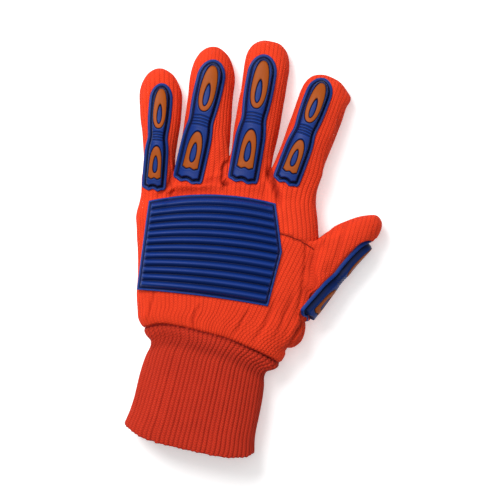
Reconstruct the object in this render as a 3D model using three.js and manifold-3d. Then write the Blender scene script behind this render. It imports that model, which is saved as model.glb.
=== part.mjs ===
import * as THREE from 'three';
import { mergeVertices } from 'three/addons/utils/BufferGeometryUtils.js';
import Module from 'manifold-3d';

// Impact glove for the left hand, filled out as if worn and lying palm down.
// Millimetres: +X towards the thumb, +Y along the fingers, +Z up from the surface it lies on.

const wasm = await Module();
wasm.setup();

// Driving sizes of the cloth hand
const PALM_LENGTH = 110;
const PALM_HEIGHT = 34;
// Middle of the palm's section and its reach up and down, as shares of its crown
const PALM_MIDDLE = 0.48;
const PALM_RISE = 0.52;
const PALM_DROP = 0.51;
const FINGER_HEIGHT = 23;
const CLOTH = 2.6;
const WEB_RISE = 9;
const FINGER_GAP = 1.3;
const ROOT_RUN = 20;
// How late along a finger its tip swings aside
const TIP_SWING = 3;

const THUMB_LENGTH = 62;
const THUMB_WIDTH = 26.5;
const THUMB_HEIGHT = 27;
const THUMB_TIP = 27;
const THUMB_TURN = 36;
const THUMB_RUN = 16;
// The opening that the thumb grows from: its ends as shares of the palm from the cuff up, and its
// reach over and under the hand's edge as a share of the hand's width
const THUMB_OPENING = { from: 0.214, to: 0.643, reach: 0.056 };

// Driving sizes of the knit cuff
const CUFF_LENGTH = 62.5;
const CUFF_WIDTH = 86;
const CUFF_HEIGHT = 37;
const CUFF_WALL = 2.6;
const CUFF_TURN = 13;
const CUFF_TUCK = 1.2;
const CUFF_RUN = 8;
// How far the cuff's underside is pressed flat
const CUFF_PRESS = 0.5;

// Driving sizes of the moulded guards, their inlays and the pad
const LIP_HEIGHT = 1.7;
const LIP_WIDTH = 1.5;
const CROWN_HEIGHT = 5.2;
const SHOULDER_DROP = 0.9;
const SHOULDER_WIDTH = 1.1;
const INLAY_DEPTH = 1.3;
const INLAY_PROUD = 0.2;
const PAD_HEIGHT = 4.4;
const PAD_LIP = 2.2;
const PAD_RIDGES = 12;
const PAD_VALLEY = 1.8;

// Room between pieces that touch
const GAP = 0.3;
// How deep a raw guard or pad reaches into the hand before its underside is cut to fit
const SINK = 2.5;
// How far a guard's or the pad's edge may bend down over a side
const GUARD_BEND = 3.5;
const PAD_BEND = 9;

// Ends of the knuckle line and the crotches between the fingers, up the palm from its middle
const WEBS = [
  { up: 0.425 },
  { up: 0.437 },
  { up: 0.54 },
  { up: 0.469 },
  { up: 0.437 },
];

// Each finger: width at its root, length, lean towards the thumb, then the shares of that
// width at a quarter, half and three quarters of its length, and its rounded tip
const FINGERS = [
  { name: 'little', width: 21.4, length: 71, lean: 2.5, low: 1.06, mid: 1.24, high: 1.33,
    tip: 19, blunt: 2, shift: -2.4, count: 4 },
  { name: 'ring', width: 35.1, length: 78, lean: 7.6, low: 0.9, mid: 0.86, high: 0.89,
    tip: 24, blunt: 2.1, shift: -2.4, count: 5 },
  { name: 'middle', width: 27.1, length: 81.5, lean: 10.9, low: 1.09, mid: 1.12, high: 1.155,
    tip: 20, blunt: 2.5, shift: -2, count: 4 },
  { name: 'index', width: 33.1, length: 68, lean: 20.7, low: 0.955, mid: 0.985, high: 0.99,
    tip: 18, blunt: 2.6, shift: -0.8, count: 5 },
];

// Guards: length and width, turn against the digit, and the place of the centre as a share of
// the digit's length and width
const GUARDS = [
  { digit: 'little', length: 71, width: 15, waist: 0.87, turn: 2.3, up: 0.349, across: -0.065 },
  { digit: 'ring', length: 83, width: 18.5, waist: 0.86, turn: 5.4, up: 0.356, across: -0.13 },
  { digit: 'middle', length: 84.5, width: 18.9, waist: 0.84, turn: -0.6, up: 0.342, across: -0.115 },
  { digit: 'index', length: 75.4, width: 17.4, waist: 0.84, turn: 0, up: 0.376, across: -0.138 },
];
const THUMB_GUARD = { digit: 'thumb', length: 68, width: 17.5, waist: 0.86 };
const THUMB_GUARD_TURN = 48;
const THUMB_GUARD_ROLL = 12;
const THUMB_GUARD_DIP = 7.5;
// Centre of the thumb guard: shares of the palm's width and length, and of the palm's height
const THUMB_GUARD_PLACE = { across: 0.556, up: -0.135, high: 0.5 };

// Heights along a finger: middle and half thickness as shares of the finger's height
const FINGER_LINE = [
  { at: 0, middle: 0.565, half: 0.52 },
  { at: 0.25, middle: 0.64, half: 0.49 },
  { at: 0.5, middle: 0.62, half: 0.48 },
  { at: 0.75, middle: 0.5, half: 0.48 },
  { at: 0.88, middle: 0.44, half: 0.465 },
  { at: 1, middle: 0.41, half: 0.44 },
];

// Edges of the hand from the cuff seam (0) to the knuckle line (1) as shares of the palm's
// width, and its crown as a share of the palm's height
const BODY_LINE = [
  { at: 0, left: -0.469, right: 0.288, crown: 0.98 },
  { at: 0.06, left: -0.495, right: 0.33, crown: 1.02 },
  { at: 0.12, left: -0.501, right: 0.41, crown: 1.04 },
  { at: 0.24, left: -0.508, right: 0.442, crown: 1.06 },
  { at: 0.38, left: -0.5, right: 0.465, crown: 1.05 },
  { at: 0.52, left: -0.5, right: 0.487, crown: 1.02 },
  { at: 0.66, left: -0.504, right: 0.499, crown: 0.97 },
  { at: 0.76, left: -0.509, right: 0.499, crown: 0.91 },
  { at: 0.86, left: -0.497, right: 0.5, crown: 0.83 },
  { at: 1, left: -0.478, right: 0.52, crown: 0.74 },
];

// The seam between hand and cuff, from the little finger's side (0) to the thumb's (1)
const SEAM_LINE = [
  { at: 0, up: -0.461 },
  { at: 0.12, up: -0.437 },
  { at: 0.26, up: -0.449 },
  { at: 0.42, up: -0.479 },
  { at: 0.61, up: -0.52 },
  { at: 0.76, up: -0.567 },
  { at: 0.89, up: -0.615 },
  { at: 1, up: -0.668 },
];

// The thumb from inside the hand to its tip (1): its reach towards the fingers and towards the
// wrist as shares of its half width, and its middle and half thickness as shares of its height
const THUMB_LINE = [
  { at: -0.3, fore: 1.02, heel: 1.62, middle: 0.59, half: 0.52 },
  { at: 0, fore: 1.02, heel: 1.5, middle: 0.58, half: 0.52 },
  { at: 0.2, fore: 1.02, heel: 1.2, middle: 0.57, half: 0.52 },
  { at: 0.4, fore: 1.07, heel: 0.94, middle: 0.55, half: 0.5 },
  { at: 0.7, fore: 0.85, heel: 0.86, middle: 0.52, half: 0.48 },
  { at: 1, fore: 0.7, heel: 0.8, middle: 0.48, half: 0.44 },
];
const THUMB_BASE = { across: 0.416, up: -0.143 };

// The cuff from its neck (0) to its hem (1): shares of its width and height
const CUFF_LINE = [
  { at: 0, wide: 0.9, high: 0.89 },
  { at: 0.25, wide: 0.925, high: 0.9 },
  { at: 0.5, wide: 0.945, high: 0.93 },
  { at: 0.75, wide: 0.97, high: 0.97 },
  { at: 0.92, wide: 1.01, high: 1.0 },
  { at: 1, wide: 0.995, high: 1.0 },
];
const CUFF_NECK = { across: -0.107, up: -0.615 };
const HEM_CORNER = 7;
const HEM_SQUARE = 5;

// The pad's corners and the bulge of its edges, as shares of the palm's width and length
const PAD = {
  bottomLeft: { across: -0.505, up: -0.233 },
  bottomRight: { across: 0.222, up: -0.331 },
  topLeft: { across: -0.439, up: 0.29 },
  topRight: { across: 0.266, up: 0.274 },
  point: { across: 0.3, up: -0.012 },
  topArch: 0.045,
  bottomArch: 0.012,
};

// Shares of a guard's length and width
const GUARD_LINE = [
  { at: 0, wide: 0.97, waist: 0 },
  { at: 0.06, wide: 1, waist: 0 },
  { at: 0.3, wide: 0.98, waist: 0 },
  { at: 0.44, wide: 0.96, waist: 0.8 },
  { at: 0.52, wide: 0.96, waist: 1 },
  { at: 0.6, wide: 0.96, waist: 0.8 },
  { at: 0.74, wide: 0.97, waist: 0 },
  { at: 0.88, wide: 0.95, waist: 0 },
  { at: 1, wide: 0.93, waist: 0 },
];
const GUARD_TIP = 0.13;
const TIP_INLAY = { name: 'tip', from: 0.59, to: 0.957, foot: 2.5, hole: 0.37 };
const BASE_INLAY = { name: 'base', from: 0.123, to: 0.43, foot: 2.6, hole: 0.45 };
const INLAY_WIDTH = 0.58;
const HOLE_WIDTH = 0.36;
const HOLE_LENGTH = 0.4;

// Fineness of the meshes
const SIDE_COLUMNS = 3;
const BODY_ROWS = 14;
const FINGER_ROWS = 8;
const THUMB_ROWS = 8;
const CUFF_COLUMNS = 30;
const CUFF_STATIONS = [0, 0.07, 0.15, 0.32, 0.54, 0.79, 1];
const ARC_STEPS = 60;
const ROUNDNESS = 2.3;
const BODY_ROUNDNESS = 2.9;
const STUB = 0.05;
const TIP_GATHER = 1.25;
const GUARD_STATIONS = [0.2, 0.42, 0.52, 0.62, 0.8];
const TIP_FLAT = 0.95;
const EDGE_SLACK = 0.01;
const LEAST_SHARE = 0.1;
const INLAY_MARGIN = 1;
const INLAY_SIDES = 10;
const HOLE_SIDES = 6;
const INLAY_ROWS = 3;
const PAD_STIFF = 0.06;
// Where the pad's lip steps, as shares of its width
const LIP_OUTER = 0.6;
const LIP_INNER = 1.6;
const PAD_THIRD = 0.34;

const PALM_WIDTH = FINGERS.reduce((sum, finger) => sum + finger.width, 0);
const COLUMNS = FINGERS.reduce((sum, finger) => sum + finger.count, 0);
// Share of the palm's length, up from the knuckle line, in which four fingers become one hand
const KNUCKLES = 0.28;

const { lerp, clamp, degToRad } = THREE.MathUtils;
const ease = (x) => THREE.MathUtils.smoothstep(x, 0, 1);
const vec = (x, y, z = 0) => new THREE.Vector3(x, y, z);
const placed = ({ across, up }) => vec(across * PALM_WIDTH, up * PALM_LENGTH);
const rounded = (x, power) => (1 - Math.min(Math.abs(x), 1) ** power) ** (1 / power);

// Value of a table's column at a station, on a smooth curve through its rows.
function read(table, column, at) {
  let i = 0;
  while (i < table.length - 2 && at > table[i + 1].at) i += 1;
  const slope = (j) => {
    const before = table[Math.max(j - 1, 0)];
    const after = table[Math.min(j + 1, table.length - 1)];
    return (after[column] - before[column]) / (after.at - before.at);
  };
  const step = table[i + 1].at - table[i].at;
  const x = clamp((at - table[i].at) / step, 0, 1);
  const rise = table[i + 1][column] - table[i][column];
  const curve = ease(x) * rise;
  const entry = x * (1 - x) ** 2 * slope(i) * step;
  const exit = x ** 2 * (1 - x) * slope(i + 1) * step;
  return table[i][column] + curve + entry - exit;
}

// Half of a rounded section, walked by arc length from one side (0) over its crown to the other (1).
function halfSection(halfWidth, rise, power) {
  const walk = [];
  for (let i = 0; i <= ARC_STEPS; i += 1) {
    const angle = Math.PI * (1 - i / ARC_STEPS);
    const w = Math.sign(Math.cos(angle)) * Math.abs(Math.cos(angle)) ** (2 / power);
    const v = Math.abs(Math.sin(angle)) ** (2 / power);
    const last = walk[i - 1];
    const step = last ? Math.hypot((w - last.w) * halfWidth, (v - last.v) * rise) : 0;
    walk.push({ w, v, far: (last ? last.far : 0) + step });
  }
  const whole = walk[ARC_STEPS].far;
  return (share) => {
    const far = clamp(share, 0, 1) * whole;
    let i = 1;
    while (i < ARC_STEPS && walk[i].far < far) i += 1;
    const [a, b] = [walk[i - 1], walk[i]];
    const x = (far - a.far) / (b.far - a.far);
    return { w: lerp(a.w, b.w, x), v: lerp(a.v, b.v, x) };
  };
}

// Columns of a ring: over the top from left to right, down the right side, back under, up the left.
function ringColumns(topShares, section) {
  const across = topShares.length - 1;
  const edge = SIDE_COLUMNS / 2 / (across + SIDE_COLUMNS);
  const top = topShares.map((share) => section(edge + (1 - 2 * edge) * share));
  const side = [];
  for (let p = 1; p < SIDE_COLUMNS; p += 1) {
    const height = 1 - (2 * p) / SIDE_COLUMNS;
    const { w, v } = section(1 - edge * Math.abs(height));
    side.push({ w, v: Math.sign(height) * v });
  }
  const below = ({ w, v }) => ({ w, v: -v });
  const left = ({ w, v }) => ({ w: -w, v: -v });
  return [...top, ...side, ...top.map(below).reverse(), ...side.map(left)];
}

const even = (count) => Array.from({ length: count + 1 }, (_, i) => i / count);

// The crotch points in plan
const webPoints = WEBS.map(({ up }, i) => {
  const walked = FINGERS.slice(0, i).reduce((sum, finger) => sum + finger.width, 0);
  return vec(BODY_LINE.at(-1).left * PALM_WIDTH + walked, up * PALM_LENGTH);
});

const fingers = FINGERS.map((finger, i) => {
  const [left, right] = [webPoints[i], webPoints[i + 1]];
  const turn = degToRad(finger.lean);
  const section = halfSection(finger.width / 2, FINGER_HEIGHT / 2, ROUNDNESS);
  const ring = ringColumns(even(finger.count), section);
  const first = FINGERS.slice(0, i).reduce((sum, other) => sum + other.count, 0);
  const along = vec(Math.sin(turn), Math.cos(turn));
  const across = vec(Math.cos(turn), -Math.sin(turn));
  const line = [
    { at: 0, wide: right.clone().sub(left).dot(across) / finger.width },
    { at: 0.25, wide: finger.low },
    { at: 0.5, wide: finger.mid },
    { at: 0.75, wide: finger.high },
    { at: 1, wide: finger.high },
  ];
  const centre = left.clone().lerp(right, 0.5);
  return { ...finger, left, right, centre, along, across, ring, line, first };
});

// Height of a digit's wall at a station: middle plus or minus its half thickness, flat where it lies.
function wallHeight(line, height, share, v, close) {
  const middle = read(line, 'middle', share) * height;
  const half = read(line, 'half', share) * height;
  return Math.max(middle + v * half * close, 0);
}

// A point of a finger's outside: f runs from the knuckle line (0) to the tip (1).
function fingerPoint(finger, column, f) {
  const { w, v } = finger.ring[column];
  const corner = Math.abs(finger.ring[0].w);
  const rooted = clamp(w / corner, -1, 1);
  const root = finger.left.clone().lerp(finger.right, (rooted + 1) / 2);
  const start = root.clone().sub(finger.centre).dot(finger.along);
  const end = finger.length - finger.tip * (1 - rounded(w, finger.blunt));
  const s = lerp(start, end, f);
  const lateral = lerp(rooted, w, ease((s - start) / WEB_RISE));
  const clear = (FINGER_GAP / 2) * ease((2 * (s - start)) / WEB_RISE);
  const half = (read(finger.line, 'wide', s / finger.length) * finger.width) / 2 - clear;
  const fromRoot = root.clone().addScaledVector(finger.along, s - start);
  fromRoot.addScaledVector(finger.across, -rooted * clear);
  const drift = finger.shift * (s / finger.length) ** TIP_SWING;
  const free = finger.centre.clone().addScaledVector(finger.along, s);
  free.addScaledVector(finger.across, lateral * half + drift);
  const plan = fromRoot.lerp(free, ease((s - start) / ROOT_RUN));
  const close = rounded(clamp((s - end + finger.tip) / finger.tip, 0, 1), ROUNDNESS);
  plan.z = wallHeight(FINGER_LINE, FINGER_HEIGHT, s / finger.length, v, close);
  return plan;
}

// The finger's outside carried on below the knuckle line, into the hand.
function belowKnuckles(finger, column, far) {
  const point = fingerPoint(finger, column, 0);
  return point.addScaledVector(finger.along, -far);
}

// Where each top column crosses the knuckle line, as a share of its width
const topShares = (() => {
  const crossed = fingers.flatMap((finger, i) => (
    even(finger.count).slice(i ? 1 : 0).map((_, j) => fingerPoint(finger, j + (i ? 1 : 0), 0).x)
  ));
  const [from, to] = [crossed[0], crossed.at(-1)];
  return crossed.map((x) => (x - from) / (to - from));
})();

function knuckleHeight(share) {
  const x = lerp(webPoints[0].x, webPoints.at(-1).x, share);
  const i = clamp(webPoints.findIndex((p) => p.x > x), 1, webPoints.length - 1);
  const [a, b] = [webPoints[i - 1], webPoints[i]];
  return lerp(a.y, b.y, (x - a.x) / (b.x - a.x));
}

// A point of the hand's outside as one sack: t from the cuff seam (0) to the knuckle line (1).
function sackPoint(t, { w, v }) {
  const left = read(BODY_LINE, 'left', t) * PALM_WIDTH;
  const right = read(BODY_LINE, 'right', t) * PALM_WIDTH;
  const crown = read(BODY_LINE, 'crown', t) * PALM_HEIGHT;
  const share = (w + 1) / 2;
  const seam = read(SEAM_LINE, 'up', share) * PALM_LENGTH;
  const y = lerp(seam, knuckleHeight(share), t);
  const z = crown * (PALM_MIDDLE + (v > 0 ? PALM_RISE : PALM_DROP) * v);
  return vec(lerp(left, right, share), y, Math.max(z, 0));
}

function sackSection(t) {
  const wide = (read(BODY_LINE, 'right', t) - read(BODY_LINE, 'left', t)) * PALM_WIDTH;
  const crown = read(BODY_LINE, 'crown', t) * PALM_HEIGHT;
  return halfSection(wide / 2, crown / 2, BODY_ROUNDNESS);
}

// The finger columns, one or two, that a column of the hand's ring runs into.
function fingersAt(column) {
  const under = column >= COLUMNS + SIDE_COLUMNS && column <= 2 * COLUMNS + SIDE_COLUMNS;
  const place = under ? 2 * COLUMNS + SIDE_COLUMNS - column : column;
  if (place > 2 * COLUMNS) {
    const first = fingers[0];
    return [[first, column - 2 * COLUMNS + 2 * first.count]];
  }
  if (place > COLUMNS) {
    const last = fingers.at(-1);
    return [[last, column - last.first]];
  }
  const met = fingers.filter(({ first, count }) => place >= first && place <= first + count);
  return met.map((finger) => {
    const j = place - finger.first;
    return [finger, under ? 2 * finger.count + SIDE_COLUMNS - j : j];
  });
}

function bodyPoint(row, column) {
  const t = row / BODY_ROWS;
  const shares = even(COLUMNS).map((share, i) => lerp(share, topShares[i], ease(t)));
  const sack = sackPoint(t, ringColumns(shares, sackSection(t))[column]);
  const share = ease(1 - (1 - t) / KNUCKLES);
  if (share === 0) return sack;
  const met = fingersAt(column);
  const mean = vec(0, 0);
  for (const [finger, j] of met) {
    mean.addScaledVector(belowKnuckles(finger, j, (1 - t) * PALM_LENGTH), 1 / met.length);
  }
  return sack.lerp(mean, share);
}

// The skin of the whole hand: points, and quads that each belong to one piece of cloth
const points = [];
const quads = [];
const addPoint = (point) => points.push(point) - 1;
// Points on the digit's side of a gap, with the point that each faces across it
const facing = new Map();
const addQuad = (piece, corners) => {
  const distinct = corners.filter((corner, i) => corner !== corners[(i + 1) % corners.length]);
  if (new Set(distinct).size > 2) quads.push({ piece, corners: distinct });
};

const RING = 2 * COLUMNS + 2 * SIDE_COLUMNS;
const bodyGrid = even(BODY_ROWS).map((_, row) => (
  Array.from({ length: RING }, (_unused, column) => addPoint(bodyPoint(row, column)))
));

const THUMB_FIRST_ROW = Math.round(THUMB_OPENING.from * BODY_ROWS);
const THUMB_LAST_ROW = Math.round(THUMB_OPENING.to * BODY_ROWS);
const THUMB_REACH = Math.round(THUMB_OPENING.reach * COLUMNS);
const inThumb = (row, column) => (
  row >= THUMB_FIRST_ROW && row < THUMB_LAST_ROW
  && column >= COLUMNS - THUMB_REACH && column < COLUMNS + SIDE_COLUMNS + THUMB_REACH
);
for (let row = 0; row < BODY_ROWS; row += 1) {
  for (let column = 0; column < RING; column += 1) {
    const next = (column + 1) % RING;
    const [low, high] = [bodyGrid[row], bodyGrid[row + 1]];
    if (!inThumb(row, column)) addQuad('hand_body', [low[column], low[next], high[next], high[column]]);
  }
}

// A digit's rings: a stub that stays with the hand, the narrow gap above it, then rows that
// gather towards a tip folded shut along the digit's middle.
function addDigit(piece, root, rowCount, along, fold, pointAt, flip) {
  const rows = even(rowCount).map((x) => lerp(STUB, 1, 1 - (1 - x) ** TIP_GATHER));
  let below = root;
  [STUB, ...rows].forEach((f, i) => {
    const across = (p) => points[below[p]].clone().addScaledVector(along, GAP);
    const ring = [];
    for (let p = 0; p < root.length; p += 1) {
      const folded = f === 1 && fold(p) < p;
      ring[p] = folded ? ring[fold(p)] : addPoint(i === 1 ? across(p) : pointAt(p, f));
    }
    if (i === 1) ring.forEach((k, p) => facing.set(k, below[p]));
    for (let p = 0; p < root.length; p += 1) {
      const q = (p + 1) % root.length;
      const corners = [below[p], below[q], ring[q], ring[p]];
      addQuad(['hand_body', 'gap'][i] ?? piece, flip ? corners.reverse() : corners);
    }
    below = ring;
  });
}

// The points between two neighbouring fingers, from the back of the hand to its palm
const webs = fingers.slice(1).map((_, i) => (
  even(SIDE_COLUMNS).slice(1, -1).map((_unused, p) => (
    addPoint(fingerPoint(fingers[i], fingers[i].count + p + 1, 0))
  ))
));

fingers.forEach((finger, i) => {
  const { count, first } = finger;
  const top = bodyGrid[BODY_ROWS];
  const under = 2 * COLUMNS + SIDE_COLUMNS - first;
  const back = top.slice(first, first + count + 1);
  const palm = top.slice(under - count, under + 1);
  const right = webs[i] ?? top.slice(COLUMNS + 1, COLUMNS + SIDE_COLUMNS);
  const left = i ? [...webs[i - 1]].reverse() : top.slice(2 * COLUMNS + SIDE_COLUMNS + 1);
  const size = finger.ring.length;
  const fold = (p) => (2 * count + SIDE_COLUMNS - p + size) % size;
  const root = [...back, ...right, ...palm, ...left];
  const pointAt = (p, f) => fingerPoint(finger, p, f);
  addDigit(`finger_${finger.name}`, root, FINGER_ROWS, finger.along, fold, pointAt, false);
});

// The thumb's frame: along it, across it towards the index finger, and its base in plan
const thumbTurn = degToRad(THUMB_TURN);
const thumb = {
  base: placed(THUMB_BASE),
  along: vec(Math.cos(thumbTurn), Math.sin(thumbTurn)),
  across: vec(-Math.sin(thumbTurn), Math.cos(thumbTurn)),
};

// The edge of the opening that the thumb grows from, walked as the thumb's ring is: down the
// side towards the fingers, back under, up the side towards the wrist, and over the top.
const thumbHole = (() => {
  const [low, high] = [THUMB_FIRST_ROW, THUMB_LAST_ROW];
  const [from, to] = [COLUMNS - THUMB_REACH, COLUMNS + SIDE_COLUMNS + THUMB_REACH];
  const edge = [];
  for (let column = from; column < to; column += 1) edge.push(bodyGrid[high][column]);
  for (let row = high; row > low; row -= 1) edge.push(bodyGrid[row][to]);
  for (let column = to; column > from; column -= 1) edge.push(bodyGrid[low][column]);
  for (let row = low; row < high; row += 1) edge.push(bodyGrid[row][from]);
  return edge;
})();

const HOLE_ACROSS = SIDE_COLUMNS + 2 * THUMB_REACH;
const HOLE_ALONG = THUMB_LAST_ROW - THUMB_FIRST_ROW;
const thumbRing = thumbHole.map((_, p) => {
  const counts = [HOLE_ACROSS, HOLE_ALONG, HOLE_ACROSS, HOLE_ALONG];
  let [side, step] = [0, p];
  while (step >= counts[side]) {
    step -= counts[side];
    side += 1;
  }
  const angle = (Math.PI / 2) * (0.5 - side - step / counts[side]);
  const [c, s] = [Math.cos(angle), Math.sin(angle)];
  const power = 2 / ROUNDNESS;
  return { w: Math.sign(c) * Math.abs(c) ** power, v: Math.sign(s) * Math.abs(s) ** power };
});

function thumbPoint(p, f) {
  const { w, v } = thumbRing[p];
  const hole = points[thumbHole[p]];
  const start = hole.clone().sub(thumb.base).dot(thumb.along);
  const end = THUMB_LENGTH - THUMB_TIP * (1 - rounded(w, ROUNDNESS));
  const s = lerp(start, end, f);
  const share = s / THUMB_LENGTH;
  const half = (read(THUMB_LINE, w > 0 ? 'fore' : 'heel', share) * THUMB_WIDTH) / 2;
  const free = thumb.base.clone().addScaledVector(thumb.along, s);
  free.addScaledVector(thumb.across, w * half);
  const close = rounded(clamp((s - end + THUMB_TIP) / THUMB_TIP, 0, 1), ROUNDNESS);
  free.z = wallHeight(THUMB_LINE, THUMB_HEIGHT, share, v, close);
  const fromHole = hole.clone().add(vec(s - start, 0));
  return fromHole.lerp(free, ease((s - start) / THUMB_RUN));
}

const thumbFold = (p) => (HOLE_ACROSS - p + thumbHole.length) % thumbHole.length;
addDigit('thumb', thumbHole, THUMB_ROWS, vec(1, 0), thumbFold, thumbPoint, true);

// Any direction that tells the two diagonals of a rim apart
const RIM_SIDE = vec(1, 0.4, 0.1);

// Outward directions at the skin's points
const normals = points.map(() => vec(0, 0));
for (const { corners } of quads) {
  for (let i = 1; i < corners.length - 1; i += 1) {
    const [a, b, c] = [corners[0], corners[i], corners[i + 1]].map((k) => points[k]);
    const normal = b.clone().sub(a).cross(c.clone().sub(a));
    for (const k of [corners[0], corners[i], corners[i + 1]]) normals[k].add(normal);
  }
}
for (const normal of normals) normal.normalize();
for (const [k, across] of facing) normals[k].copy(normals[across]);

function layer(offset) {
  return points.map((point, k) => {
    const moved = point.clone().addScaledVector(normals[k], offset);
    moved.z = Math.max(moved.z, -offset);
    return moved;
  });
}

// Triangles of polygons as one indexed geometry.
function geometryOf(vertices, polygons) {
  const geometry = new THREE.BufferGeometry();
  const used = [...new Set(polygons.flat())];
  const place = new Map(used.map((k, i) => [k, i]));
  const index = polygons.flatMap((corners) => (
    corners.slice(2).flatMap((_, i) => [corners[0], corners[i + 1], corners[i + 2]])
  ));
  const position = used.flatMap((k) => vertices[k].toArray());
  geometry.setAttribute('position', new THREE.Float32BufferAttribute(position, 3));
  geometry.setIndex(index.map((k) => place.get(k)));
  return geometry;
}

// Edges of a set of polygons that only one of them has, as pairs in its direction.
function openEdges(polygons) {
  const seen = new Map();
  for (const corners of polygons) {
    corners.forEach((a, i) => {
      const b = corners[(i + 1) % corners.length];
      if (seen.has(`${b} ${a}`)) seen.delete(`${b} ${a}`);
      else seen.set(`${a} ${b}`, [a, b]);
    });
  }
  return [...seen.values()];
}

// The rim between an outside edge and the same edge on the inside. Rims that face each other
// across a gap are split along the same diagonal, so that they stay parallel.
function rim([a, b], inner, vertices) {
  const ahead = vertices[b].clone().sub(vertices[a]).dot(RIM_SIDE) > 0;
  return ahead ? [[b, a, a + inner], [b, a + inner, b + inner]]
    : [[b, a, b + inner], [a, a + inner, b + inner]];
}

// A piece of cloth: its outside, its inside one cloth thickness in, and the rims between them.
function clothGeometry(piece) {
  const outside = quads.filter((quad) => quad.piece === piece).map((quad) => quad.corners);
  const inner = points.length;
  const inside = outside.map((corners) => corners.map((k) => k + inner).reverse());
  const rims = openEdges(outside).flatMap((edge) => rim(edge, inner, points));
  return geometryOf([...points, ...layer(-CLOTH)], [...outside, ...inside, ...rims]);
}

// The whole hand as one solid, its skin moved out by an offset and its wrist closed.
function handSolid(offset) {
  const vertices = layer(offset);
  const outside = quads.map((quad) => quad.corners);
  const edges = openEdges(outside);
  const centre = vertices.length;
  const mean = vec(0, 0);
  for (const [a] of edges) mean.addScaledVector(vertices[a], 1 / edges.length);
  const cap = edges.map(([a, b]) => [b, a, centre]);
  return geometryOf([...vertices, mean], [...outside, ...cap]);
}

// A closed solid between two grids of points, counted by row and column.
function slab(rows, columns, above, below) {
  const vertices = [];
  const id = (side, row, column) => (side * rows + row) * columns + column;
  for (const surface of [above, below]) {
    for (let row = 0; row < rows; row += 1) {
      for (let column = 0; column < columns; column += 1) vertices.push(surface(row, column));
    }
  }
  const top = [];
  for (let row = 0; row < rows - 1; row += 1) {
    for (let column = 0; column < columns - 1; column += 1) {
      top.push([id(0, row, column), id(0, row, column + 1),
        id(0, row + 1, column + 1), id(0, row + 1, column)]);
    }
  }
  const size = rows * columns;
  const bottom = top.map((corners) => corners.map((k) => k + size).reverse());
  const sides = openEdges(top).map(([a, b]) => [b, a, a + size, b + size]);
  return geometryOf(vertices, [...top, ...bottom, ...sides]);
}

function solidOf(geometry) {
  const vertProperties = Float32Array.from(geometry.getAttribute('position').array);
  const triVerts = Uint32Array.from(geometry.getIndex().array);
  return new wasm.Manifold(new wasm.Mesh({ numProp: 3, vertProperties, triVerts }));
}

function geometryFrom(solid) {
  const { vertProperties, triVerts } = solid.getMesh();
  const geometry = new THREE.BufferGeometry();
  geometry.setAttribute('position', new THREE.Float32BufferAttribute(vertProperties, 3));
  geometry.setIndex(Array.from(triVerts));
  return geometry;
}

// How far the hand's skin lies from a frame's own plane, looking in along its third axis
const skin = new THREE.Mesh(handSolid(0), new THREE.MeshBasicMaterial());
function skinUnder(frame, x, y, fallback) {
  const axis = new THREE.Vector3().setFromMatrixColumn(frame, 2);
  const from = vec(x, y, PALM_LENGTH).applyMatrix4(frame);
  const hits = new THREE.Raycaster(from, axis.negate()).intersectObject(skin);
  return hits.length ? PALM_LENGTH - hits[0].distance : fallback;
}

// Each guard's frame: x across it, y along it, z out of the digit's back
function fingerGuardFrame(guard) {
  const finger = fingers.find(({ name }) => name === guard.digit);
  const turn = -degToRad(finger.lean + guard.turn);
  const centre = finger.centre.clone().addScaledVector(finger.along, guard.up * finger.length);
  centre.addScaledVector(finger.across, guard.across * finger.width);
  return new THREE.Matrix4().makeRotationZ(turn).setPosition(centre);
}

function thumbGuardFrame() {
  const { across, up, high } = THUMB_GUARD_PLACE;
  const turn = new THREE.Matrix4().makeRotationZ(degToRad(THUMB_GUARD_TURN - 90));
  const dip = new THREE.Matrix4().makeRotationX(-degToRad(THUMB_GUARD_DIP));
  const roll = new THREE.Matrix4().makeRotationY(degToRad(90 - THUMB_GUARD_ROLL));
  const centre = placed({ across, up }).setZ(high * PALM_HEIGHT);
  return turn.multiply(dip).multiply(roll).setPosition(centre);
}

// The relief of a guard by the distance from its outline: a low lip, then the raised crown.
function relief(inward, acrossShare) {
  const shoulder = clamp((inward - LIP_WIDTH) / SHOULDER_WIDTH, 0, 1);
  return lerp(LIP_HEIGHT, CROWN_HEIGHT - SHOULDER_DROP * acrossShare ** 2, shoulder);
}

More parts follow.
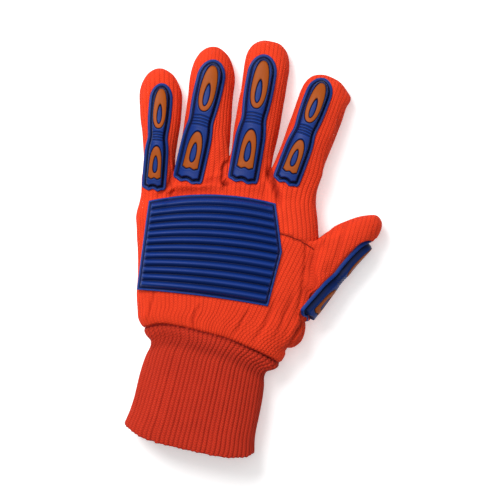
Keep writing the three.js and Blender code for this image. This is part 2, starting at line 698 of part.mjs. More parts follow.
function buildGuard(guard, frame) {
  const ends = [0, LIP_WIDTH, LIP_WIDTH + SHOULDER_WIDTH];
  const middle = GUARD_STATIONS.map((share) => share * guard.length);
  const stations = [...ends, ...middle, ...ends.map((far) => guard.length - far).reverse()];
  const halfAt = (far) => {
    const share = far / guard.length;
    const narrow = 1 - (1 - guard.waist) * read(GUARD_LINE, 'waist', share);
    const start = guard.length * (1 - GUARD_TIP);
    const tip = rounded(clamp((far - start) / (guard.length - start), 0, 1) * TIP_FLAT, 2);
    return (guard.width / 2) * read(GUARD_LINE, 'wide', share) * narrow * tip;
  };
  const seat = (x, far) => {
    const y = far - guard.length / 2;
    const ridge = skinUnder(frame, 0, y, 0);
    return Math.max(skinUnder(frame, x, y, 0), ridge - GUARD_BEND);
  };
  const columns = (far) => {
    const half = halfAt(far);
    const inset = ends.map((step) => Math.max(half - step, half * (1 - step / half)) / half);
    const shares = inset.map((share) => Math.max(share, LEAST_SHARE));
    return [...shares.map((share) => -share), 0, ...shares.reverse()].map((share) => share * half);
  };
  const grid = stations.map((far) => columns(far).map((x) => ({ x, far })));
  const lift = (far, x) => {
    const half = halfAt(far);
    const inward = Math.min(half - Math.abs(x), far, guard.length - far) + EDGE_SLACK;
    return relief(inward, x / half);
  };
  const at = (extra) => (row, column) => {
    const { x, far } = grid[row][column];
    const z = seat(x, far) + (extra ?? lift(far, x));
    return vec(x, far - guard.length / 2, z).applyMatrix4(frame);
  };
  const raw = solidOf(slab(grid.length, grid[0].length, at(), at(-SINK)));
  return { raw, seat, lift, halfAt };
}

// Outline of an inlay in its guard's plane, grown by a margin: arched head, wide foot.
function inlayOutline(inlay, guard, margin) {
  const length = (inlay.to - inlay.from) * guard.length;
  const middle = (inlay.from + inlay.to) / 2 - 0.5;
  const half = (guard.width * INLAY_WIDTH) / 2;
  const corners = even(INLAY_SIDES).slice(1).map((share) => {
    const angle = 2 * Math.PI * share;
    const [c, s] = [Math.cos(angle), Math.sin(angle)];
    const power = 2 / (s > 0 ? 2 : inlay.foot);
    const x = Math.sign(c) * Math.abs(c) ** power * (half + margin);
    const y = Math.sign(s) * Math.abs(s) ** power * (length / 2 + margin);
    return new THREE.Vector2(x, y + middle * guard.length);
  });
  return new THREE.Shape(corners);
}

function holeOutline(inlay, guard, margin) {
  const length = (inlay.to - inlay.from) * guard.length;
  const middle = lerp(inlay.from, inlay.to, inlay.hole) - 0.5;
  const corners = even(HOLE_SIDES).slice(1).map((share) => {
    const angle = 2 * Math.PI * share;
    const x = Math.cos(angle) * ((guard.width * INLAY_WIDTH * HOLE_WIDTH) / 2 + margin);
    const y = Math.sin(angle) * ((length * HOLE_LENGTH) / 2 + margin);
    return new THREE.Vector2(x, y + middle * guard.length);
  });
  return new THREE.Shape(corners);
}

function prism(shape, frame) {
  const settings = { depth: PALM_LENGTH, bevelEnabled: false, steps: 1 };
  const geometry = new THREE.ExtrudeGeometry(shape, settings);
  geometry.translate(0, 0, -PALM_LENGTH / 2).applyMatrix4(frame);
  return solidOf(welded(geometry));
}

function welded(geometry) {
  const bare = new THREE.BufferGeometry();
  bare.setAttribute('position', geometry.getAttribute('position'));
  if (geometry.getIndex()) bare.setIndex(geometry.getIndex());
  return mergeVertices(bare);
}

// The layer of a guard between two heights over its seat, along one inlay.
function sheet(built, inlay, guard, frame, low, high) {
  const [from, to] = [inlay.from * guard.length - INLAY_MARGIN, inlay.to * guard.length + INLAY_MARGIN];
  const stations = even(INLAY_ROWS).map((x) => lerp(from, to, x));
  const reach = (guard.width * INLAY_WIDTH) / 2 + INLAY_MARGIN;
  const spots = [-reach, 0, reach];
  const surface = (height) => (row, column) => {
    const far = stations[row];
    const x = spots[column];
    const half = guard.width / 2;
    const crown = CROWN_HEIGHT - SHOULDER_DROP * (x / half) ** 2;
    return vec(x, far - guard.length / 2, built.seat(x, far) + crown + height).applyMatrix4(frame);
  };
  return solidOf(slab(stations.length, spots.length, surface(high), surface(low)));
}

const BLUE = { color: 0x24347a, roughness: 0.45, metalness: 0 };
const COPPER = { color: 0xb05225, roughness: 0.5, metalness: 0 };
const ORANGE = { color: 0xec4123, roughness: 0.95, metalness: 0 };
const RUST = { color: 0xbe3224, roughness: 0.95, metalness: 0 };

const glove = new THREE.Group();
function addPiece(name, geometry, look) {
  const mesh = new THREE.Mesh(geometry, new THREE.MeshStandardMaterial(look));
  mesh.name = name;
  glove.add(mesh);
}

const cloth = ['hand_body', ...fingers.map(({ name }) => `finger_${name}`)];
for (const piece of cloth) addPiece(piece, clothGeometry(piece), ORANGE);

// The thumb, with what would meet the hand along its curved seam cut away
const handAside = clothGeometry('hand_body').translate(GAP / 2, 0, 0);
const thumbCloth = solidOf(clothGeometry('thumb')).subtract(solidOf(handAside)).decompose();
addPiece('thumb', geometryFrom(thumbCloth.sort((a, b) => b.volume() - a.volume())[0]), ORANGE);

const clearHand = solidOf(handSolid(GAP));

function addGuard(guard, frame) {
  const built = buildGuard(guard, frame);
  let body = built.raw.subtract(clearHand);
  for (const inlay of [TIP_INLAY, BASE_INLAY]) {
    const hole = prism(inlayOutline(inlay, guard, GAP), frame);
    const island = prism(holeOutline(inlay, guard, -GAP), frame);
    const room = sheet(built, inlay, guard, frame, -INLAY_DEPTH, CROWN_HEIGHT);
    body = body.subtract(hole.subtract(island).intersect(room));
    const ring = prism(inlayOutline(inlay, guard, 0), frame);
    const opening = prism(holeOutline(inlay, guard, 0), frame);
    const fill = sheet(built, inlay, guard, frame, GAP - INLAY_DEPTH, INLAY_PROUD);
    const piece = ring.subtract(opening).intersect(fill);
    addPiece(`inlay_${guard.digit}_${inlay.name}`, geometryFrom(piece), COPPER);
  }
  const largest = body.decompose().sort((a, b) => b.volume() - a.volume())[0];
  addPiece(`guard_${guard.digit}`, geometryFrom(largest), BLUE);
}
for (const guard of GUARDS) addGuard(guard, fingerGuardFrame(guard));
addGuard(THUMB_GUARD, thumbGuardFrame());

// The pad's surface in plan: u from left to right, v from its lower to its upper edge
function padPoint(u, v) {
  const [low, high, point] = [PAD.bottomRight, PAD.topRight, PAD.point].map(placed);
  const turn = (point.y - low.y) / (high.y - low.y);
  const right = v < turn ? low.clone().lerp(point, v / turn)
    : point.clone().lerp(high, (v - turn) / (1 - turn));
  const left = placed(PAD.bottomLeft).lerp(placed(PAD.topLeft), v);
  const plan = left.lerp(right, u);
  plan.y += 4 * u * (1 - u) * lerp(PAD.bottomArch, PAD.topArch, v) * PALM_LENGTH;
  return plan;
}

const plumb = new THREE.Matrix4();
const padHigh = PALM_LENGTH * (PAD.topLeft.up - PAD.bottomLeft.up);
const padWide = PALM_WIDTH * (PAD.topRight.across - PAD.topLeft.across);
const lipShare = PAD_LIP / padHigh;
const padRows = (() => {
  const rows = [{ v: 0, high: LIP_HEIGHT }, { v: lipShare * LIP_OUTER, high: LIP_HEIGHT }];
  const pitch = (1 - 2 * lipShare) / PAD_RIDGES;
  for (let ridge = 0; ridge < PAD_RIDGES; ridge += 1) {
    const from = lipShare + ridge * pitch;
    rows.push({ v: from, high: PAD_VALLEY }, { v: from + pitch / 2, high: PAD_HEIGHT });
  }
  rows.push({ v: 1 - lipShare, high: PAD_VALLEY });
  rows.push({ v: 1 - lipShare * LIP_OUTER, high: LIP_HEIGHT }, { v: 1, high: LIP_HEIGHT });
  return rows;
})();
const padEdge = PAD_LIP / padWide;
const padLeft = [0, padEdge * LIP_OUTER, padEdge * LIP_INNER, PAD_THIRD];
const padColumns = [...padLeft, ...padLeft.map((u) => 1 - u).reverse()];
function padSurface(extra) {
  return (row, column) => {
    const { v, high } = padRows[row];
    const u = padColumns[column];
    const plan = padPoint(u, v);
    const inward = Math.min(u, 1 - u) * padWide;
    const lift = inward < PAD_LIP ? LIP_HEIGHT : high;
    const reached = plan.clone();
    reached.x = lerp(plan.x, 0, PAD_STIFF);
    const crown = skinUnder(plumb, 0, reached.y, 0);
    const seat = Math.max(skinUnder(plumb, reached.x, reached.y, 0), crown - PAD_BEND);
    return plan.setZ(seat + (extra ?? lift));
  };
}
const rawPad = solidOf(slab(padRows.length, padColumns.length, padSurface(), padSurface(-SINK)));
addPiece('back_pad', geometryFrom(rawPad.subtract(clearHand)), BLUE);

// The cuff's frame: down it towards the hem, and across it towards the thumb
const cuffTurn = degToRad(CUFF_TURN);
const cuff = {
  neck: placed(CUFF_NECK),
  along: vec(-Math.sin(cuffTurn), -Math.cos(cuffTurn)),
  across: vec(Math.cos(cuffTurn), -Math.sin(cuffTurn)),
};
const cuffSections = {
  hand: sackSection(0),
  cuff: halfSection(CUFF_WIDTH / 2, CUFF_HEIGHT / 2, ROUNDNESS),
};

function aroundSection(section, share) {
  const { w, v } = section(1 - Math.abs(1 - 2 * share));
  return share < 0.5 ? { w, v } : { w, v: -v };
}

// A point of the cuff: f from the seam under the hand (0) to the hem (1), moved in by an inset.
function cuffPoint(f, share, inset) {
  const seam = sackPoint(0, aroundSection(cuffSections.hand, share));
  const left = sackPoint(0, { w: -1, v: 0 });
  const right = sackPoint(0, { w: 1, v: 0 });
  const shrink = 1 - (2 * (inset + CUFF_TUCK)) / (right.x - left.x);
  const middle = (left.x + right.x) / 2;
  seam.x = lerp(middle, seam.x, shrink);
  const waist = (read(BODY_LINE, 'crown', 0) * PALM_HEIGHT) / 2;
  const drop = Math.max(1 - (inset + CUFF_TUCK) / waist, 0);
  seam.z = lerp(waist, seam.z, drop);
  seam.addScaledVector(cuff.along, GAP);
  const { w, v } = aroundSection(cuffSections.cuff, share);
  const start = seam.clone().sub(cuff.neck).dot(cuff.along);
  const end = CUFF_LENGTH - HEM_CORNER * Math.abs(w) ** HEM_SQUARE;
  const s = lerp(start, end, f);
  const station = s / CUFF_LENGTH;
  const half = (read(CUFF_LINE, 'wide', station) * CUFF_WIDTH) / 2 - inset;
  const high = (read(CUFF_LINE, 'high', station) * CUFF_HEIGHT) / 2;
  const free = cuff.neck.clone().addScaledVector(cuff.along, s);
  free.addScaledVector(cuff.across, w * half);
  free.z = Math.max(high + v * (high + CUFF_PRESS - inset), inset);
  const below = seam.clone().addScaledVector(cuff.along, s - start);
  below.z = Math.max(below.z, inset);
  return below.lerp(free, ease((s - start) / CUFF_RUN));
}

function cuffGeometry() {
  const vertices = [];
  for (const inset of [0, CUFF_WALL]) {
    for (const station of CUFF_STATIONS) {
      for (let column = 0; column < CUFF_COLUMNS; column += 1) {
        vertices.push(cuffPoint(station, column / CUFF_COLUMNS, inset));
      }
    }
  }
  const inner = CUFF_STATIONS.length * CUFF_COLUMNS;
  const outside = [];
  for (let row = 0; row < CUFF_STATIONS.length - 1; row += 1) {
    for (let column = 0; column < CUFF_COLUMNS; column += 1) {
      const [a, b] = [column, (column + 1) % CUFF_COLUMNS].map((c) => row * CUFF_COLUMNS + c);
      outside.push([a, a + CUFF_COLUMNS, b + CUFF_COLUMNS, b]);
    }
  }
  const inside = outside.map((corners) => corners.map((k) => k + inner).reverse());
  const rims = openEdges(outside).map(([a, b]) => [b, a, a + inner, b + inner]);
  return geometryOf(vertices, [...outside, ...inside, ...rims]);
}
addPiece('knit_cuff', cuffGeometry(), RUST);

export default glove;
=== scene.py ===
import functools
import math

import bpy
import numpy as np
from mathutils import Matrix, Vector
from mathutils.bvhtree import BVHTree


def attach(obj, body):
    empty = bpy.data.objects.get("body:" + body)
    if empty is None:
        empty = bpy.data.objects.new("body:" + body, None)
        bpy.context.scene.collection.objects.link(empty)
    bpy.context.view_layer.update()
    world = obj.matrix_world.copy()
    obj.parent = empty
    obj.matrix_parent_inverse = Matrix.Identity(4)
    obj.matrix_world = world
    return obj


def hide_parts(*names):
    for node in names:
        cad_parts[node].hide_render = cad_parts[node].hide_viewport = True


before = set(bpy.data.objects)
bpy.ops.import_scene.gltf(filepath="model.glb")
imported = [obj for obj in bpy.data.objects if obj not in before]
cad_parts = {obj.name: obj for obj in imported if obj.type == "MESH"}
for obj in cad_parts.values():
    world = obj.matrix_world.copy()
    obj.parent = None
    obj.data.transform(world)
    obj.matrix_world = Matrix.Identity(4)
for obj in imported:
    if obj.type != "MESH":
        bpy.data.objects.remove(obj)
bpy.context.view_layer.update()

bl_info = {
    "name": "Impact glove",
    "version": (1, 0, 0),
    "blender": (4, 5, 0),
    "location": "3D View > Sidebar > Glove",
    "description": "Dresses the packed impact glove in corded knit, moulded rubber and a ribbed cuff",
    "category": "Object",
}

# Shapes are worked out in millimetres, and meshes are made in metres
MM = 0.001

# Parts of the cloth skin: the hand, then the fingers from 1, then the thumb
HAND_PART = 0
THUMB_PART = 5


def table(names, *rows):
    """Rows as dictionaries under the given column names."""
    return [dict(zip(names.split(), row)) for row in rows]


# Cloth hand
PALM_LENGTH = 110.0
PALM_HEIGHT = 34.0
PALM_MIDDLE = 0.48
PALM_RISE = 0.52
PALM_DROP = 0.51
FINGER_HEIGHT = 23.0
CLOTH = 2.6
WEB_RISE = 9.0
FINGER_GAP = 1.3
ROOT_RUN = 20.0
KNUCKLES = 0.28
ROUNDNESS = 2.3
BODY_ROUNDNESS = 2.9

THUMB_LENGTH = 62.0
THUMB_WIDTH = 26.5
THUMB_HEIGHT = 27.0
THUMB_TIP = 27.0
THUMB_TURN = 36.0
THUMB_RUN = 16.0
THUMB_HOLE = {"low": 0.214, "high": 0.643, "reach": 0.056}

CUFF_LENGTH = 62.5
CUFF_WIDTH = 86.0
CUFF_HEIGHT = 37.0
CUFF_WALL = 2.6
CUFF_TURN = 13.0
CUFF_TUCK = 1.2
CUFF_RUN = 8.0
CUFF_PRESS = 0.5
CUFF_LEAN = 0.02
HEM_CORNER = 7.0
HEM_SQUARE = 5
HEM_SCALLOP = 0.2
HEM_UNEVEN = 0.25
RIB_UNEVEN = 0.32
CUFF_WAVES = 0.45

# The cuff swells beside the seam and narrows further on
CUFF_BANDS = table(
    "far width rise",
    (3, 3.2, 1.0),
    (10.5, 4.0, -0.9),
)

# Painted shade darkens it at the seam and in its neck
CUFF_DARK = table(
    "far width dark",
    (0, 1.3, 0.75),
    (11, 3.0, 0.3),
)

# Knits: stitches a millimetre, relief in metres, and how dark the painted shade in the specks between the stitches
# is
KNITS = {"hand": (0.62, 0.0005, 0.3), "cuff": (0.6, 0.0006, 0.55), "thread": (0.9, 0.0002, 0.3)}

# Noises in the materials: bumps a metre, octaves and roughness
NOISES = {
    "wander": (420.0, 2.0),
    "broad": (38.0, 3.0, 0.6),
    "fuzz": (1300.0, 3.0, 0.7),
    "patches": (110.0, 3.0, 0.65),
    "worn": (45.0, 3.0, 0.6),
    "grain": (1400.0, 2.0, 0.6),
    "floor": (3.0,),
}

# Where the camera looks, its sensor and its reach, and the lights with their shares of the key light's power
VIEW_CENTRE = (0.0143, 0.0, 0.015)
SENSOR_WIDTH = 36.0
CLIP_END = 20.0
LIGHTS = table(
    "name place size share",
    ("key", (-0.52, 0.66, 1.1), 0.8, 1.0),
    ("top", (-0.1, 0.1, 1.6), 1.0, 0.42),
)

# How far the guards and the pad bend down beside their crown line, and how much less the pad bends across
GUARD_BEND = 3.5
PAD_BEND = 9.0
PAD_STIFF = 0.06

# Crotches between the fingers, up the palm from its middle
WEBS = [0.425, 0.437, 0.54, 0.469, 0.437]

# Each finger: width at its root, length, lean, shares of that width along it, tip, cords on top
FINGERS = table(
    "name width length lean low mid high tip blunt shift cords",
    ("little", 21.4, 71.0, 2.5, 1.06, 1.24, 1.33, 19.0, 2.0, -2.4, 8),
    ("ring", 35.1, 79.2, 7.6, 0.9, 0.86, 0.89, 24.0, 2.1, -2.4, 11),
    ("middle", 27.1, 81.5, 10.9, 1.09, 1.12, 1.155, 20.0, 2.5, -2.0, 10),
    ("index", 33.1, 66.6, 20.7, 0.955, 0.985, 0.99, 18.0, 2.6, -0.8, 11),
)
FINGER_STATIONS = [0, 0.25, 0.5, 0.75, 1]
SIDE_CORDS = 6

# Each guard: its size, the narrowing at its waist, and its turn and place on its digit
GUARDS = table(
    "digit length width waist turn up across",
    ("little", 69.7, 15.4, 0.9, 2.3, 0.358, -0.065),
    ("ring", 81.7, 18.9, 0.93, 5.4, 0.367, -0.13),
    ("middle", 84.5, 19.4, 0.9, -0.6, 0.358, -0.115),
    ("index", 73.5, 17.5, 0.91, 0.0, 0.408, -0.138),
)
THUMB_GUARD = {"digit": "thumb", "length": 66.8, "width": 17.5, "waist": 0.86}
THUMB_GUARD_POSE = {"turn": 48.0, "roll": 12.0, "dip": 7.5, "across": 0.5595, "up": -0.131, "high": 0.498}

# Lines along each form: shares of its width, height and place at stations from its root to its end
FINGER_LINE = {
    "at": [0, 0.25, 0.5, 0.75, 0.88, 1],
    "middle": [0.565, 0.64, 0.62, 0.5, 0.44, 0.41],
    "half": [0.52, 0.49, 0.48, 0.48, 0.465, 0.44],
}
BODY_LINE = {
    "at": [0, 0.06, 0.12, 0.24, 0.38, 0.52, 0.66, 0.76, 0.86, 1],
    "left": [-0.469, -0.495, -0.501, -0.508, -0.5, -0.5, -0.504, -0.509, -0.497, -0.478],
    "right": [0.288, 0.33, 0.41, 0.442, 0.465, 0.487, 0.499, 0.499, 0.5, 0.52],
    "crown": [0.98, 1.02, 1.04, 1.06, 1.05, 1.02, 0.97, 0.91, 0.83, 0.74],
}
SEAM_LINE = {
    "at": [0, 0.12, 0.26, 0.42, 0.61, 0.76, 0.89, 1],
    "up": [-0.461, -0.437, -0.449, -0.479, -0.52, -0.567, -0.615, -0.668],
}
THUMB_LINE = {
    "at": [-0.3, 0, 0.2, 0.4, 0.7, 1],
    "fore": [1.02, 1.02, 1.02, 1.07, 0.85, 0.7],
    "heel": [1.62, 1.5, 1.2, 0.94, 0.86, 0.8],
    "middle": [0.59, 0.58, 0.57, 0.55, 0.52, 0.48],
    "half": [0.52, 0.52, 0.52, 0.5, 0.48, 0.44],
}
THUMB_BASE = (0.416, -0.143)
CUFF_LINE = {
    "at": [0, 0.25, 0.5, 0.75, 0.92, 1],
    "wide": [0.9, 0.925, 0.945, 0.97, 1.01, 0.995],
    "high": [0.89, 0.9, 0.93, 0.97, 1.0, 1.0],
}
CUFF_NECK = (-0.107, -0.615)
GUARD_LINE = {
    "at": [0, 0.06, 0.345, 0.42, 0.48, 0.52, 0.58, 0.665, 0.76, 0.88, 1],
    "wide": [1.01, 1.04, 1.03, 1.0, 0.96, 0.96, 0.97, 0.99, 1, 0.98, 0.95],
    "waist": [0, 0, 0.05, 0.45, 0.98, 1, 0.5, 0.1, 0, 0, 0],
}
GUARD_TIP = 0.15
GUARD_CORNER = {"run": 2.6, "roundness": 2.4, "in": 1.9}
GUARD_WAVE = {"depth": 0.62, "aside": 0.06, "slant": 0.25, "reach": 9, "start": 0.6}

# Rings of an inlay from its outer edge to its hole and back below: place, lift over the crown and darkness of its
# painted shade
INLAY_RINGS = [
    *((t, lift, max(0.0, min(-lift * 3, 1.0))) for t, lift in zip(
        (0.05, 0.08, 0.13, 0.22, 0.4, 0.6, 0.78, 0.87, 0.92, 0.95),
        (-0.5, -0.18, -0.02, 0.05, 0.07, 0.07, 0.05, -0.02, -0.18, -0.5))),
    (0.95, -0.9, 1.0), (0.5, -0.9, 1.0), (0.05, -0.9, 1.0),
]

# Inlays and their holes as shares of the guard's length and width: an egg at the tip, a bullet at the base
INLAYS = table(
    "name low high hole long bullet",
    ("tip", 0.58, 0.963, 0.34, 0.45, False),
    ("base", 0.117, 0.42, 0.42, 0.5, True),
)
INLAY_WIDTH = 0.55
INLAY_BED = 0.8
INLAY_RIM = {"out": 0.9, "width": 0.4, "rise": 0.12}
HOLE_WIDTH = 0.36
HOLE_TAPER = 0.18
EGG = {"roundness": 2.35, "taper": 0.07}
BULLET = {"arch": 0.42, "lobes": 0.45, "taper": 0.06, "neck": 0.94, "power_x": 0.92, "power_y": 0.96}

# The thumb's guard lies straighter and deeper than the cloth under it
THUMB_BOW = 0.25
THUMB_SINK = {"all": 0.9, "end": 0.4, "reach": 16.0}

# A guard's and the pad's forms from the edge inwards, in millimetres, and how deep their undersides lie
LIP_ROUND = 0.6
LIP_FALL = 0.25
GROOVE = {"past_lip": 0.35, "width": 0.42, "depth": 0.8}
SHOULDER = {"past_lip": 0.45, "width": 1.15}
PAD_GROOVE = {"past_lip": 0.1, "width": 0.45, "depth": 0.75}
PAD_SHOULDER = {"past_lip": 0.2, "width": 1.3}
RIDGE = {"lean": 1.12, "roundness": 0.7}
WAIST_GROOVES = {"count": 4, "first": 0.458, "step": 0.024, "arch": 1.6, "width": 0.42}
# Painted shade on a guard: a dark line in the groove inside the lip, and a darker slope up the crown beside it
GUARD_DARK = {"line": 0.42, "width": 0.62, "slope": 0.82, "slope_from": 0.6, "slope_run": 1.9}
# Painted shade on the pad: a dark line in the groove inside the lip, the valleys, and the lower side of each ridge
PAD_DARK = {"line": 0.15, "width": 0.4, "groove": 0.95, "below": 0.5, "phase": 0.3, "power": 1.5}
GUARD_SINK = 0.55
PAD_SINK = 0.5
SEAT_CLEAR = 0.3

# How far the cloth under a guard may move to its seat, and how far round the guard it follows
PRESS = {"down": -3.0, "up": 0.6, "reach": 4.0, "margin": 0.9, "run": 1.1}
THUMB_PRESS = {
    "down": -9.0, "up": 5.0, "reach": 12.0, "margin": 4.0, "run": 3.5, "rise_from": 12, "rise_over": 8,
}

# The pad's corners as shares of the palm's width and length, and the arch of its edges
PAD = {
    "bottom_left": (-0.505, -0.233),
    "bottom_right": (0.222, -0.331),
    "top_left": (-0.439, 0.29),
    "top_right": (0.266, 0.274),
    "point": (0.3, -0.012),
}
PAD_TOP_ARCH = 0.045
PAD_BOTTOM_ARCH = 0.012

# Lines on the back of the hand that have a use of their own
HEEL_FOLD = [(53.5, -40), (48.5, -48), (44.6, -54), (38, -65)]
BACK_SEAM = [(32, 10.9), (39.2, 9.0), (46.8, 6.0), (53.3, 2.1), (56.3, -0.6)]

# The heel of the hand falls away beside its fold, and the thumb's seam is a shallow groove; both are darkened with
# painted shade
HEEL = {"low": -75, "high": -38, "past_fold": 0.5, "run": 5.0, "depth": 2.2, "dark": 0.35}
THUMB_SEAM = {"reach": 60.0, "width": 1.5, "depth": 0.5, "dark_width": 1.2, "dark": 0.2}
WRIST_ROLL = 2.2

# How far a crease wanders, where its fading starts and stretches, and the soft rim beside it
CREASE = {"wander": 0.35, "start": 0.12, "stretch": 0.8, "rim": 0.35, "rim_out": 2.4}

# Creases that run over the back of the hand: points in millimetres, width, depth and darkness of their painted
# shade
CREASES = table(
    "path width depth dark",
    ([(1.3, 58), (-1.3, 56.5), (-3.2, 52), (-3.9, 46.8), (-3.2, 43.5)], 1.1, 1.4, 0.8),
    ([(-3.8, 44.6), (-1.8, 43.0), (0.8, 43.2)], 1.8, 3.4, 1.0),
    ([(-16.2, 43.5), (-11.7, 44.8), (-4.5, 46.1)], 1.3, 1.0, 0.4),
    ([(-2.9, 42.9), (-3.2, 39), (-3.4, 36.4)], 0.9, 0.9, 0.5),
    ([(27.3, 52), (27.3, 48.7), (29.9, 43.5), (32.5, 35.1), (33.4, 30)], 1.7, 2.6, 1.0),
    ([(-35.1, 50), (-37.7, 43.5), (-41.6, 39.6), (-45.5, 35)], 1.6, 1.8, 0.8),
    ([(-40, 36.0), (-28, 38.4), (-17, 38.4), (-6, 37.4)], 1.7, 1.9, 0.65),
    ([(-18.2, -36), (-22.1, -43.6), (-22.4, -51)], 1.0, 0.8, 0.45),
    ([(-47.5, -27), (-50.5, -38), (-52.5, -47)], 1.0, 0.7, 0.4),
    ([(31, -33), (24, -48), (17, -59)], 1.3, 0.8, 0.35),
    ([(14, -38), (8, -48), (2, -57)], 1.1, 0.7, 0.35),
    ([(42.5, -28), (36, -44), (29.6, -58)], 1.4, 0.8, 0.35),
    (HEEL_FOLD, 1.7, 2.2, 0.7),
    ([(56.5, 1), (54.9, -6.2), (53.4, -16), (52, -30.5), (51, -40)], 2.8, 1.7, 0.36),
    ([(72, 88), (71, 76), (66, 62)], 1.0, 0.6, 0.3),
    ([(78, 22), (74, 8), (68, -10)], 1.1, 0.5, 0.3),
    (BACK_SEAM, 1.2, 0.9, 0.3),
)

# Soft forms under the cords: a path or spot, how wide, and how far it stands out
ROLLS = table(
    "path width rise",
    ([(-47, 42), (-30, 41.5), (-10, 41.2), (10, 41), (25, 39)], 3.4, 1.2),
    ([(80.2, 98.2), (81, 97.6)], 4.2, 2.8),
    ([(37, 47), (38, 36)], 3.6, 1.1),
    ([(5, 42), (20, 42)], 3.0, 0.8),
    ([(36, 6), (46, 2)], 4.0, 0.8),
    ([(61, 5), (64.5, 8.5)], 3.6, 2.0),
    ([(38.2, -65.0), (41.0, -66.2)], 2.2, -2.6),
    ([(33, -50), (24, -62)], 5.0, 0.9),
)

# The cords lean below the back seam, growing from the first place to the second, and cross the thumb steeply
CORD_LEAN = {"degrees": 21.0, "from": -22.0, "to": 4.0, "level": -33.0}
LEAN_PITCH = 40
THUMB_CORD_TURN = 74.0

# How much flatter the cords are at the tips, on the thumb and at its seam, and how uneven they are
CORDS = {
    "wander": 0.1, "at_tip": 0.8, "tip_from": 0.72, "tip_run": 0.28, "on_thumb": 0.45, "at_seam": 0.85,
    "seam_reach": 3.5, "deep": 0.75, "patchy": 0.5, "uneven": 0.12,
}
CORD_SHAPE = 0.6
CORD_MEAN = 0.6
MOST_CORDS = 400

# Soft noises over the surfaces: seed and size of their bumps
WAVES = {"cords": (41, 9), "aside": (31, 9), "along": (32, 9), "patches": (17, 16), "cuff": (21, 24)}

# Soft wrinkles all over the cloth, and how high over the floor they reach their full depth
WRINKLES = table(
    "size stretch seed share",
    (24, 0.4, 3, 0.8),
    (11, 0.6, 9, 0.4),
)
FLOOR_FADE = 2.0

# A stitch's ends as shares of its length, its unevenness, and how it bulges out of the seam
STITCH = {"span": (-0.12, 1.12), "uneven": 0.06, "wander": 0.12, "bulge": 0.3, "sunk": 0.35}

# Rows of the hand lie closer before the knuckles and beside the wrist
CROWDED_ROWS = table(
    "at width more",
    (0.93, 0.09, 1.5),
    (0.1, 0.1, 0.5),
)

# Samples of the guards' seats, and what a ray that misses the cloth counts as
SEAT_STATIONS = 60
SEAT_SPOTS = 15
MISSED = -1000.0
SOFTENING = [0.25, 0.5, 0.25]

# Fineness of the meshes
GUARD_FIRST_ROWS = [0, 0.12, 0.3, 0.55, 0.85, 1.2]
GUARD_SPREAD = 0.8
CORD_SAMPLES = 6
BODY_ROWS = 84
FINGER_ROWS = 44
THUMB_ROWS = 60
LINING_ROWS = (14, 9, 9)
TIP_GATHER = 1.25
ROW_SPREAD = 0.3
GUARD_COLUMNS = 48
GUARD_ROWS = 150
GUARD_TIP_ROWS = 26
PAD_COLUMNS = 130
PAD_ROWS = 170
PAD_CROWD = 0.35
PAD_SPOTS = 27
CUFF_SAMPLES = 6
CUFF_ROWS = 70
CUFF_LINING_STEP = 3
STITCH_SPOTS = 7
STITCH_SIDES = 8

# The cuff's first rings, hidden under the hand's edge: place along it and inset
CUFF_TUCKED = [(-0.045, 2.6), (-0.02, 2.4), (-0.006, 1.9)]


def lerp(a, b, t):
    return a + (b - a) * t


def ease(x):
    x = np.clip(x, 0, 1)
    return x * x * (3 - 2 * x)


def rounded(x, power):
    return (1 - np.minimum(np.abs(x), 1) ** power) ** (1 / power)


def bell(x):
    return np.exp(-x * x)


def signed_power(x, power):
    return np.sign(x) * np.abs(x) ** power


def walked(path):
    """Distance along a path to each of its points."""
    return np.concatenate([[0], np.cumsum(np.linalg.norm(np.diff(path, axis=0), axis=1))])


def bilinear(grid, i, j):
    """Values of a grid at rows i and columns j, which need not be whole."""
    i, j = (np.clip(at, 0, size - 1.001) for at, size in zip((i, j), grid.shape))
    a, b = i.astype(int), j.astype(int)
    low = lerp(grid[a, b], grid[a, b + 1], j - b)
    high = lerp(grid[a + 1, b], grid[a + 1, b + 1], j - b)
    return lerp(low, high, i - a)


def smoothed(grid, axis, times):
    """A grid with its lines along one axis softened a number of times."""
    def soften(line):
        return np.convolve(np.pad(line, 1, "edge"), SOFTENING, "valid")

    for _ in range(times):
        grid = np.apply_along_axis(soften, axis, grid)
    return grid


def ring_quads(rings):
    """Quads between neighbouring closed rings, of point numbers or of a value that each point has."""
    rings = np.asarray(rings)
    after = np.roll(rings, -1, axis=1)
    return np.stack([rings[:-1], after[:-1], after[1:], rings[1:]], axis=-1).reshape(-1, 4)


def read(line, name, at):
    """Value of one of a line's shares at stations, on a smooth curve through those given."""
    x, y = np.array(line["at"], float), np.array(line[name], float)
    at = np.asarray(at, float)
    i = np.clip(np.searchsorted(x, at, side="left") - 1, 0, len(x) - 2)
    before = np.maximum(np.arange(len(x)) - 1, 0)
    after = np.minimum(np.arange(len(x)) + 1, len(x) - 1)
    slope = (y[after] - y[before]) / (x[after] - x[before])
    step = x[i + 1] - x[i]
    s = np.clip((at - x[i]) / step, 0, 1)
    entry = s * (1 - s) ** 2 * slope[i] * step
    leave = s ** 2 * (1 - s) * slope[i + 1] * step
    return y[i] + ease(s) * (y[i + 1] - y[i]) + entry - leave


def half_section(half_width, rise, power):
    """Half of a rounded section, walked by arc length from one side over its crown to the other."""
    angle = np.pi * (1 - np.linspace(0, 1, 401))
    w, v = signed_power(np.cos(angle), 2 / power), np.abs(np.sin(angle)) ** (2 / power)
    far = np.concatenate([[0], np.cumsum(np.hypot(np.diff(w) * half_width, np.diff(v) * rise))])
    far /= far[-1]
    return lambda share: (np.interp(share, far, w), np.interp(share, far, v))


